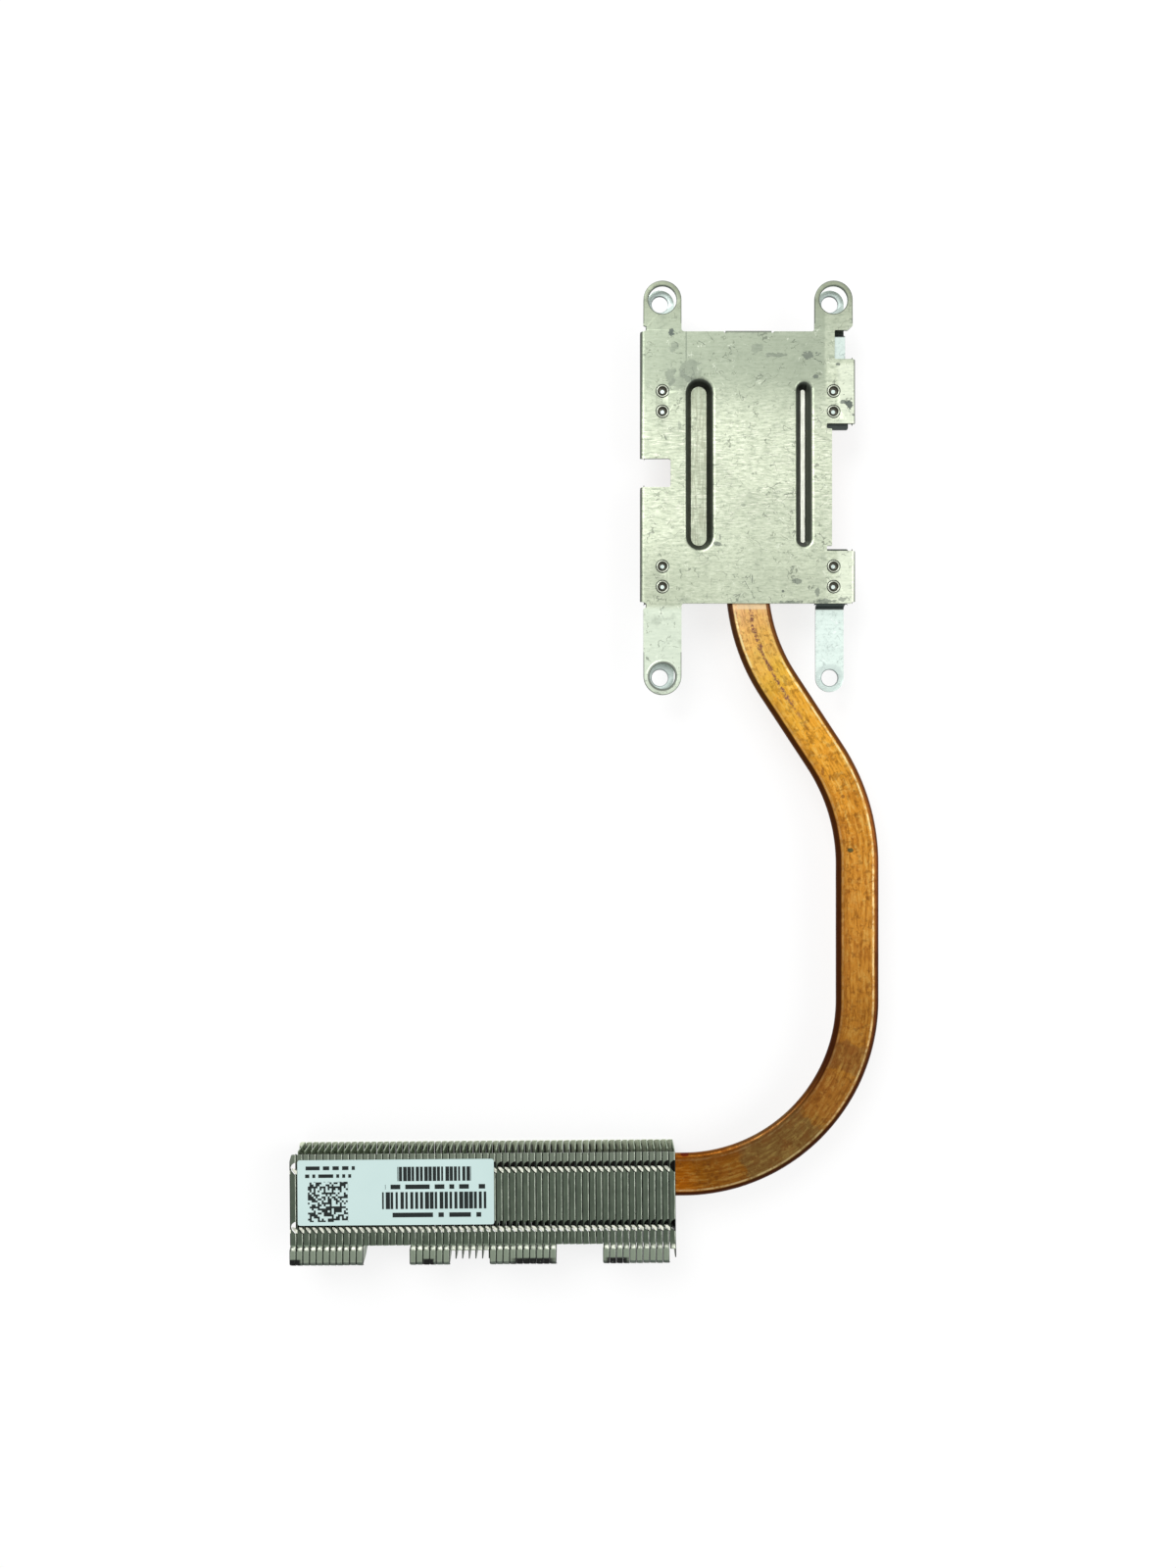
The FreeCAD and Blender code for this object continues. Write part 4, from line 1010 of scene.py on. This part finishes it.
# %% Bending the cover
RIM_WIDTH, RIM_HEIGHT = 0.6, 0.14
RIM_GUIDES = (2.8, 3.0, 3.25)


def fold(run):
    """Reach and level of a point that far into a fold."""
    if run <= FOLD_RUN:
        return FOLD * math.sin(run / FOLD), FOLD * (math.cos(run / FOLD) - 1)
    return FOLD, -FOLD - (run - FOLD_RUN)


def rib_depth(x, y):
    for (cx, cy), width, length in RIBS:
        reach = (length - width) / 2
        off = math.hypot(x - cx, max(abs(y - cy) - reach, 0)) - width / 2
        if off < RIB_PROFILE[-1][0]:
            return PIPE_THICK
        for (outer, above), (inner, below) in zip(RIB_PROFILE, RIB_PROFILE[1:]):
            if inner <= off <= outer:
                return above + (below - above) * (outer - off) / (outer - inner)
    return 0.0


def cover_form(x, y):
    z = -rib_depth(x, y)
    rim = math.hypot(x + SCREW_X, y + SCREW_Y) - LOW_HOLE
    if -0.01 < rim < RIM_WIDTH:
        z += RIM_HEIGHT * (1 - rim / RIM_WIDTH)
    if -22.45 < y < 30.5 and abs(x) > FLAT_X:
        if x < 0 or y < 25.1:
            reach, drop = fold(abs(x) - FLAT_X)
            x, z = math.copysign(FLAT_X + reach, x), drop
    elif y > TOP_STEP and TOP_LIP_ENDS[0] - 0.05 < x < TOP_LIP_ENDS[1] + 0.05:
        reach, drop = fold(y - TOP_STEP)
        y, z = TOP_STEP + reach, drop
    return x, y, z


def make_cover():
    holes = [ring(ear, radius) for ear, radius in zip(EARS, (EAR_HOLE, EAR_HOLE, LOW_HOLE))]
    holes += [ring(place, RIVET_HOLE, 24) for place in RIVETS]
    guides = [ring(EARS[2], radius) for radius in RIM_GUIDES]
    guides += [long_ring(centre, width + 2 * step, length + 2 * step)
               for centre, width, length in RIBS for step, _ in RIB_PROFILE]
    for k in range(6):
        x = FLAT_X + FOLD_RUN * k / 5
        guides += [[(x, -22.6), (x, 25.3)], [(-x, -22.6), (-x, 30.6)]]
        y = TOP_STEP + FOLD_RUN * k / 5
        guides.append([(TOP_LIP_ENDS[0], y), (TOP_LIP_ENDS[1], y)])
    mesh = blank_mesh("cover_plate_skin", cover_outline(), holes, guides, cover_form)
    piece = new_piece("cover_plate_skin", mesh, (*COVER_SHIFT, COVER_TOP))
    return thicken(piece, SHEET, 0.22, steps=3)


cover = finish_piece(make_cover(), COVER_METAL, ["cover_plate"])
print("cover faces:", len(cover.data.polygons))


# %% [markdown]
# Each spring arm is a strip riveted under the cover. It steps down at the
# cover's edge and ends in a round eye for the screw. Three eyes show through the
# wide holes of the ears above them, and the lower right one stands bare.

# %% The spring arms
ARM = 0.5
ARM_DROP = 1.6
ARM_EYE = 1.6
ARM_HALF = 2.75
FOOT_HALF, FOOT_FROM, FOOT_TO = 3.3, 11.6, 22.4
UPPER_STEP = (29.6, 1.0)
LOWER_STEP = (22.2, 0.7)


def smooth_step(value):
    """A smooth rise from 0 to 1, and level beyond both ends."""
    share = min(max(value, 0), 1)
    return 3 * share ** 2 - 2 * share ** 3


def make_arm(name, side, end):
    edge, run = UPPER_STEP if end > 0 else LOWER_STEP

    def arm_form(x, y):
        return x, y, -ARM_DROP * smooth_step((abs(y) - edge) / run)

    eye = arc((0, SCREW_Y), ARM_HALF, 0, 180, 20)
    right = [(FOOT_HALF, FOOT_FROM, 0.4), (FOOT_HALF, FOOT_TO - 0.4, 0.4), (ARM_HALF, FOOT_TO, 0.2)]
    left = [(-x, y, r) for x, y, r in reversed(right)]
    loop = eased(right + sharp(eye) + left)
    if end < 0:
        loop = [(x, -y) for x, y in reversed(loop)]
    holes = [ring((0, end * SCREW_Y), ARM_EYE, 40)]
    guides = [[(-4, end * (edge + run * k / 8)), (4, end * (edge + run * k / 8))] for k in range(9)]
    mesh = blank_mesh(f"{name}_skin", loop, holes, guides, arm_form)
    piece = new_piece(f"{name}_skin", mesh, (side * SCREW_X, 0, PIPE_TOP))
    thicken(piece, ARM, 0.12, steps=3)
    return finish_piece(piece, ARM_METAL, [name])


SIDES = (("left", -1), ("right", 1))
ENDS = (("upper", 1), ("lower", -1))
arms = [make_arm(f"spring_arm_{end_name}_{side_name}", side, end)
        for side_name, side in SIDES for end_name, end in ENDS]
print("arms:", len(arms))


# %% [markdown]
# The rivets are hollow: a rounded ring, a cup inside it and a small bore right
# through, so the floor shows as a pale dot. One turned profile makes them all.

# %% The rivets
RIVET_PROFILE = [(0.4, -1.2), (0.4, -0.55), (0.5, -0.48), (0.72, -0.4), (0.84, -0.26),
                 (0.88, -0.08), (0.95, 0.05), (1.05, 0.08), (1.15, 0.05), (1.22, -0.08),
                 (1.25, -0.25), (1.25, -1.2)]


def turned_mesh(name, profile, places, steps=32):
    """A closed profile turned round an upright axis at each place."""
    built = bmesh.new()
    for cx, cy in places:
        rows = []
        for k in range(steps):
            angle = 2 * math.pi * k / steps
            cos, sin = math.cos(angle), math.sin(angle)
            spots = [Vector((cx + r * cos, cy + r * sin, z)) * MM for r, z in profile]
            rows.append([built.verts.new(spot) for spot in spots])
        for row, following in zip(rows, rows[1:] + rows[:1]):
            for i in range(len(profile)):
                j = (i + 1) % len(profile)
                built.faces.new([row[j], row[i], following[i], following[j]])
    return smooth_skin(built, name)


def make_rivets(name, side, end):
    places = [(0, -RIVET_APART / 2), (0, RIVET_APART / 2)]
    mesh = turned_mesh(f"{name}_skin", RIVET_PROFILE, places)
    place = (COVER_SHIFT[0] + side * SCREW_X, end * RIVET_ROW, COVER_TOP)
    piece = new_piece(f"{name}_skin", mesh, place)
    return finish_piece(piece, RIVET_METAL, [name])


rivets = [make_rivets(f"rivets_{end_name}_{side_name}", side, end)
          for side_name, side in SIDES for end_name, end in ENDS]
print("rivet pairs:", len(rivets))


# %% [markdown]
# The heat pipe was a round tube, pressed flat and bent on edge. Its route is
# the CAD file's: straight stretches joined by arcs. The skin is swept along it
# here again, with more points, so the sides are round, the flat dips a little
# in the bends and the map for the copper can be laid on.

# %% The pipe's route
PIPE_INSET = 4.75
PIPE_X, STRAIGHT_X = 0.4, 21.85
END_GAP = 1.6
FAR_END = ROW_PITCH * ROW_COUNT - END_GAP
ARC_STEP, ROUTE_STEP = 1.2, 1.5


def along_row(run, inset):
    """A place in the row of fins, from its pipe end and from its rear."""
    cos, sin = math.cos(ROW_TURN), math.sin(ROW_TURN)
    x, y = ROW_CORNER
    return Vector((x - run * cos + inset * sin, y - run * sin - inset * cos))


def route():
    """The centreline: corners with the radius of their bend, then points along it."""
    entry = along_row(0, PIPE_INSET)
    turn_y = entry.y + (STRAIGHT_X - entry.x) * math.tan(ROW_TURN)
    corners = [(Vector((PIPE_X, 29.85)), 0), (Vector((PIPE_X, -28.7)), 36.7),
               (Vector((STRAIGHT_X, -61.4)), 38.4), (Vector((STRAIGHT_X, turn_y)), 34.0),
               (along_row(FAR_END, PIPE_INSET), 0)]
    points = [corners[0][0]]
    for index in range(1, len(corners) - 1):
        corner, radius = corners[index]
        back = (corners[index - 1][0] - corner).normalized()
        ahead = (corners[index + 1][0] - corner).normalized()
        half = (math.pi - back.angle(ahead)) / 2
        reach = radius * math.tan(half)
        start, end = corner + back * reach, corner + ahead * reach
        middle = corner + (back + ahead).normalized() * radius / math.cos(half)
        first, last = start - middle, end - middle
        sweep = first.angle_signed(last)
        steps = max(int(abs(sweep) * radius / ARC_STEP), 4)
        for k in range(steps + 1):
            turn = -sweep * k / steps
            points.append(middle + Matrix.Rotation(turn, 2) @ first)
    points.append(corners[-1][0])
    dense = [points[0]]
    for point in points[1:]:
        gap = (point - dense[-1]).length
        parts = max(int(gap / ROUTE_STEP), 1)
        start = dense[-1]
        dense += [start.lerp(point, k / parts) for k in range(1, parts + 1)]
    return dense


ROUTE = route()
print("route points:", len(ROUTE), "ends at", [round(c, 2) for c in ROUTE[-1]])


# %% [markdown]
# The pressed tube keeps the way round that it had as a round one, and so its
# width follows from the tube. In the bends the flats dip and wave a little.

# %% Sweeping the pipe's skin
TUBE = 6.0
PIPE_WIDTH = math.pi * (TUBE - PIPE_THICK) / 2 + PIPE_THICK
BEND_DIP, BEND_WAVE, WAVE_RATE = 0.05, 0.015, 1.9
BEND_SCALE = 40
FLAT_HALF, FLAT_FROM = 3.0, 0.9


def pipe_section():
    """Across and up for one turn round the pressed tube."""
    half, radius = (PIPE_WIDTH - PIPE_THICK) / 2, PIPE_THICK / 2
    flats = [half * (1 - k / 4) for k in range(9)]
    top = [(x, radius) for x in flats[1:-1]]
    left = arc((-half, 0), radius, 90, 270, 12)
    bottom = [(-x, -radius) for x in flats[1:-1]]
    right = arc((half, 0), radius, -90, 90, 12)
    return right + top + left + bottom


def pipe_ring(index, run, section):
    """The section's points at one point of the route, a run from its start."""
    point = ROUTE[index]
    before, after = ROUTE[max(index - 1, 0)], ROUTE[min(index + 1, len(ROUTE) - 1)]
    ahead = (after - before).normalized()
    side = Vector((-ahead.y, ahead.x))
    bend = 0.0
    if 0 < index < len(ROUTE) - 1:
        bend = min(abs((point - before).angle_signed(after - point) * BEND_SCALE), 1)
    spots = []
    for across, up in section:
        dip = BEND_DIP * bend * max(1 - (across / FLAT_HALF) ** 2, 0)
        wave = BEND_WAVE * math.sin(run * WAVE_RATE + across) * bend
        level = up - math.copysign(dip + abs(wave), up) * (abs(up) > FLAT_FROM)
        spot = point + side * across
        spots.append(Vector((spot.x, spot.y, BLOCK_TOP + PIPE_THICK / 2 + level)) * MM)
    return spots


def make_pipe():
    section = pipe_section()
    lengths = [0.0]
    for a, b in zip(ROUTE, ROUTE[1:]):
        lengths.append(lengths[-1] + (b - a).length)
    built = bmesh.new()
    chart = built.loops.layers.uv.new("run")
    rows = []
    for index, run in enumerate(lengths):
        rows.append([built.verts.new(spot) for spot in pipe_ring(index, run, section)])
    count = len(section)
    for index in range(len(rows) - 1):
        for i in range(count):
            j = (i + 1) % count
            corners = ((index, i), (index, j), (index + 1, j), (index + 1, i))
            face = built.faces.new([rows[row][item] for row, item in corners])
            for loop, (row, item) in zip(face.loops, corners):
                loop[chart].uv = (0.5 + section[item][0] / PIPE_WIDTH, lengths[row] / lengths[-1])
    for row in (rows[0], rows[-1]):
        built.faces.new(row)
    print("pipe length", round(lengths[-1], 1), "mm")
    return new_piece("heat_pipe_skin", smooth_skin(built, "heat_pipe_skin"))


pipe = finish_piece(make_pipe(), COPPER, ["heat_pipe"])


# %% [markdown]
# A fin is a folded strip: a top flange, an upright web and a foot flange. Its
# flange reaches over to the next fin, where a small tongue slips into a cut in
# that fin's bend, and so the row is zipped together. Long fins end in a raised
# tab in front. The blank is drawn unfolded: across is the way over the flange,
# round the bend and down the web.

# %% The fin's blank
FIN_DEPTH, FIN_SHEET = 17.7, 0.2
TAB_TO = 21.39
SLOT_DEPTH = PIPE_INSET + PIPE_WIDTH / 2 + 0.05


def web_at(level):
    """Place on the blank of a level below the fin's top."""
    return BEND_RUN + level - FIN_BEND


def tongue(start):
    """The zip's tongue on the free edge, which reaches to the rear and out."""
    shape = ((0.0, 0.86), (0.30, 1.38), (0.02, 1.20), (-0.36, 0.93), (-0.92, 0.90), (-0.80, 1.25),
             (-0.3, 1.75), (0.0, 1.98))
    return [(FREE + x, -(start + y), 0) for x, y in shape]


def fin_front(kind):
    """The fin's front edge, from the free edge over to the foot flange."""
    if kind == "short":
        return [(FREE, -FIN_DEPTH, 0.1), (FOOT_END, -FIN_DEPTH, 0.1)]
    edge = [(FREE, -17.45, 0.1), (FREE + 0.12, -17.8, 0.12)]
    if kind == "bare":
        edge += [(FREE + 0.1, -18.6, 0.15), (0.1, -18.6, 0.1), (BEND_RUN + 0.1, -18.9, 0.1),
                 (BEND_RUN + 0.15, -20.4, 0.1), (web_at(3.4), -20.3, 0.5)]
    else:
        edge += [(FREE, -18.5, 0.3), (FREE, -TAB_TO, 0.42), (BEND_RUN + 0.1, -TAB_TO, 0.42),
                 (web_at(1.6), -21.0, 0.5), (web_at(3.4), -20.6, 0.5)]
    edge += [(web_at(7.4), -18.4, 1.2), (web_at(8.2), -FIN_DEPTH, 0.3), (FOOT_END, -FIN_DEPTH, 0.1)]
    return edge


def fin_outline(kind):
    if kind == "end":
        corners = [(FREE + 0.35, -0.05, 0.15), (FREE, -1.3, 0.3)]
    else:
        corners = [(FREE, -0.05, 0.12)]
        for start in ZIP_ROWS:
            corners += tongue(start)
    corners += fin_front(kind)
    corners += [(FOOT_END, 0, 0.55), (web_at(2.55), 0, 0.15), (web_at(2.55), -SLOT_DEPTH, 0.9),
                (web_at(0.55), -SLOT_DEPTH, 0.9), (web_at(0.55), 0, 0.1)]
    return eased(corners, 3)


def zip_cut(start):
    """The arched cut across the bend that takes the next fin's tongue."""
    shape = ((-0.05, -0.25, 0.1), (-0.56, 0.15, 0.1), (-0.80, 0.68, 0.08), (-0.60, 1.40, 0.05),
             (-0.02, 2.05, 0.05), (0.44, 2.05, 0.05), (0.44, -0.2, 0.1))
    return eased([(x, -(start + y), r) for x, y, r in shape], 3)


print("fin blank", round(FOOT_END - FREE, 1), "mm wide")


# %% [markdown]
# The fold is worked out from the blank. The tongue leans down into the next
# fin's cut, the tab rises at the crease, and its tip curls down again a little.

# %% Folding the fin
TAB_RISE = 0.595
CREASE_FROM, CREASE_RUN = 17.5, 0.8
CURL_FROM, CURL, CURL_POWER = 21.0, 0.9, 1.6
TONGUE_LEAN = 0.3


def fin_form(across, y):
    rise = TAB_RISE * smooth_step((-y - CREASE_FROM) / CREASE_RUN)
    curl = CURL * max(-y - CURL_FROM, 0) ** CURL_POWER
    if across <= 0:
        lean = TONGUE_LEAN * max(FREE - across, 0)
        return across - FIN_BEND, y, rise - lean - curl
    if across <= BEND_RUN:
        angle = across / FIN_BEND
        return FIN_BEND * (math.sin(angle) - 1), y, FIN_BEND * (math.cos(angle) - 1) + rise - curl
    if across <= FOOT_AT:
        level = FIN_BEND + across - BEND_RUN
        return 0.0, y, -level + rise * (1 - level / FIN_HEIGHT)
    angle = min(across - FOOT_AT, BEND_RUN) / FIN_BEND
    beyond = max(across - FOOT_AT - BEND_RUN, 0)
    return (FIN_BEND * (math.cos(angle) - 1) - beyond, y,
            -FIN_HEIGHT + FIN_BEND * (1 - math.sin(angle)))


def make_fin_mesh(kind):
    cuts = [zip_cut(start) for start in ZIP_ROWS]
    guides = []
    for start in (0, FOOT_AT):
        for k in range(6):
            x = start + BEND_RUN * k / 5
            guides.append([(x, 0.1), (x, -FIN_DEPTH - (4.2 if start == 0 else 0.1))])
    if kind != "short":
        guides += [[(FREE, -(CREASE_FROM + 0.16 * k)), (FOOT_AT, -(CREASE_FROM + 0.16 * k))]
                   for k in range(6)]
        guides += [[(FREE, -(CURL_FROM + 0.2 * k)), (BEND_RUN, -(CURL_FROM + 0.2 * k))]
                   for k in range(3)]
    guides.append([(FREE, 0), (FREE, -FIN_DEPTH)])
    mesh = blank_mesh(f"fin_{kind}", fin_outline(kind), cuts, guides, fin_form)
    sample = new_piece(f"fin_{kind}_sample", mesh)
    thicken(sample, FIN_SHEET, 0.03, even=False)
    made = sample.data
    bpy.data.objects.remove(sample)
    made.name = f"fin_{kind}"
    print(kind, "fin faces:", len(made.polygons))
    return made


FIN_MESHES = {kind: make_fin_mesh(kind) for kind in ("end", "long", "short", "bare")}


# %% [markdown]
# The row is a loop over the fins, counted from the free end. Two short runs and
# a bare one leave the gaps in the front edge. No two fins stand quite alike, so
# each leans and shifts by a hair.

# %% The row of fins
RUNS = (("long", 11), ("short", 7), ("long", 6), ("bare", 6),
        ("long", 10), ("short", 7), ("long", 10), ("bare", 1))
ROW_INSET = 0.045


def row_nodes():
    """Kind and CAD node of each fin, in order."""
    found, number = [], 1
    for kind, count in RUNS:
        shared = f"fins_{number:02d}_to_{number + count - 1:02d}"
        joined = kind != "long" and count > 1
        for step in range(count):
            found.append((kind, shared if joined else f"fin_{number + step:02d}"))
        number += count
    return found


def make_row():
    fins = []
    for number, (kind, node) in enumerate(row_nodes(), 1):
        spot = along_row(ROW_PITCH * (ROW_COUNT - number) - ROW_INSET, 0)
        mesh = FIN_MESHES["end" if number == 1 else kind]
        fin = new_piece(f"fin_skin_{number:02d}", mesh, (spot.x, spot.y, COVER_TOP), ROW_TURN)
        fin.rotation_euler.y = math.radians(random.uniform(-0.12, 0.12))
        fin.location.x += random.uniform(0.0, 0.012) * MM
        fin.location.y += random.uniform(0.0, 0.04) * MM
        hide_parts(node)
        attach(fin, "root")
        fins.append(fin)
    for mesh in FIN_MESHES.values():
        mesh.materials.clear()
        mesh.materials.append(FIN_METAL)
    return fins


fins = make_row()
print("fins:", len(fins))


# %% [markdown]
# The label lies on the fins, turned with the row. Its corners are slightly
# rounded and its origin is its own upper left corner, which the print uses.

# %% The label
PAPER_THICK = 0.1
LABEL_INSET = 1.05


def make_label():
    width, height = LABEL_SIZE
    loop = eased([(x, y, 0.5) for x, y in ((0, -height), (width, -height), (width, 0), (0, 0))])
    mesh = blank_mesh("label_skin", loop, [], [], lambda x, y: (x, y, 0.0))
    corner = along_row(FAR_END, LABEL_INSET)
    piece = new_piece("label_skin", mesh, (*corner, COVER_TOP + PAPER_THICK), ROW_TURN)
    thicken(piece, PAPER_THICK, 0.03)
    return finish_piece(piece, PAPER, ["label"])


label = make_label()
print("label:", LABEL_SIZE, "mm")


# %% [markdown]
# The block and the wick keep the CAD file's own meshes: flat faces and sharp
# edges are what they have. They only get their copper.

# %% The nodes that keep their solids
for node, material, slot in (("base_block", BLOCK_COPPER, "copper"), ("pipe_wick", WICK_COPPER, "wick")):
    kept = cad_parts[node]
    kept.data.materials.clear()
    kept.data.materials.append(material)
print("kept solids: base_block, pipe_wick")


# %% [markdown]
# A pale floor lies under the lowest fin and catches the soft shadows. It is
# wide enough to fill every view. About three quarters of what the camera sees
# of it is plain white, so the shadows stay light, as they do in the photo.

# %% The floor
FLOOR_REACH = 3.0
FLOOR_GAP = 0.1
FLOOR_GLOW = 0.74


def make_floor():
    mesh = bpy.data.meshes.new("studio_floor")
    level = (FLOOR_LEVEL - FLOOR_GAP) * MM
    corners = [(x * FLOOR_REACH, y * FLOOR_REACH, level) for x, y in ((-1, -1), (1, -1), (1, 1), (-1, 1))]
    mesh.from_pydata(corners, [], [(0, 1, 2, 3)])
    floor = bpy.data.objects.new("studio_floor", mesh)
    bpy.context.scene.collection.objects.link(floor)
    paint = bpy.data.materials.new("floor_paint")
    paint.use_nodes = True
    tree = paint.node_tree
    shader = tree.nodes["Principled BSDF"]
    feed((0.94, 0.94, 0.94, 1), shader.inputs["Base Color"])
    feed(1.0, shader.inputs["Roughness"])
    feed(0.0, shader.inputs["Specular IOR Level"])
    rays = add_node(tree, "ShaderNodeLightPath").outputs
    seen = Wire(rays["Is Camera Ray"]).larger(Wire(rays["Is Glossy Ray"]))
    seen = seen.larger(Wire(rays["Is Transmission Ray"]))
    white = add_node(tree, "ShaderNodeEmission")
    mixed = add_node(tree, "ShaderNodeMixShader")
    feed(seen * FLOOR_GLOW, mixed.inputs[0])
    feed(Wire(shader.outputs[0]), mixed.inputs[1])
    feed(Wire(white.outputs[0]), mixed.inputs[2])
    feed(Wire(mixed.outputs[0]), tree.nodes["Material Output"].inputs["Surface"])
    mesh.materials.append(paint)
    return floor


floor = make_floor()
print("floor at", FLOOR_LEVEL, "mm")


# %% [markdown]
# The light is a pale room and two large soft lamps. The brighter lamp stands
# past the cover's end, so the light falls off towards the fins as it does in
# the photo.

# %% World and lamps
def make_world():
    world = bpy.data.worlds.new("pale_room")
    bpy.context.scene.world = world
    world.use_nodes = True
    sky = world.node_tree.nodes["Background"]
    feed((1.0, 1.0, 1.0, 1), sky.inputs["Color"])
    feed(0.72, sky.inputs["Strength"])


def make_lamp(name, place, aim, size, power):
    data = bpy.data.lights.new(name, "AREA")
    data.shape = "DISK"
    data.size = size
    data.energy = power
    lamp = bpy.data.objects.new(name, data)
    bpy.context.scene.collection.objects.link(lamp)
    lamp.location = place
    lamp.rotation_euler = (Vector(aim) - Vector(place)).to_track_quat("-Z", "Y").to_euler()


make_world()
make_lamp("soft_lamp_cover", (-0.25, 0.35, 0.55), (0, 0.02, 0), 0.45, 2.6)
make_lamp("soft_lamp_side", (0.5, -0.1, 0.5), (0, -0.05, 0), 0.5, 1.6)
print("lamps: 2")


# %% [markdown]
# The photo was taken from straight above with a short lens, so the fins' rear
# faces show along the row's upper edge. The camera's place and lens come from
# fitting the spacing of the parts in the photo, whose height is 1600 pixels.

# %% Camera
SENSOR = 36.0
FOCAL_PIXELS, PHOTO_PIXELS = 1389.5, 1600
CAMERA_PLACE = (-30.64, -57.25, 268.1)


def make_camera():
    data = bpy.data.cameras.new("camera")
    data.sensor_width = SENSOR
    data.lens = SENSOR * FOCAL_PIXELS / PHOTO_PIXELS
    data.clip_start = 0.01
    camera = bpy.data.objects.new("camera", data)
    bpy.context.scene.collection.objects.link(camera)
    camera.location = Vector(CAMERA_PLACE) * MM
    bpy.context.scene.camera = camera
    bpy.context.scene.view_settings.view_transform = "Standard"
    return camera


camera = make_camera()
print("lens", round(camera.data.lens, 2), "mm")
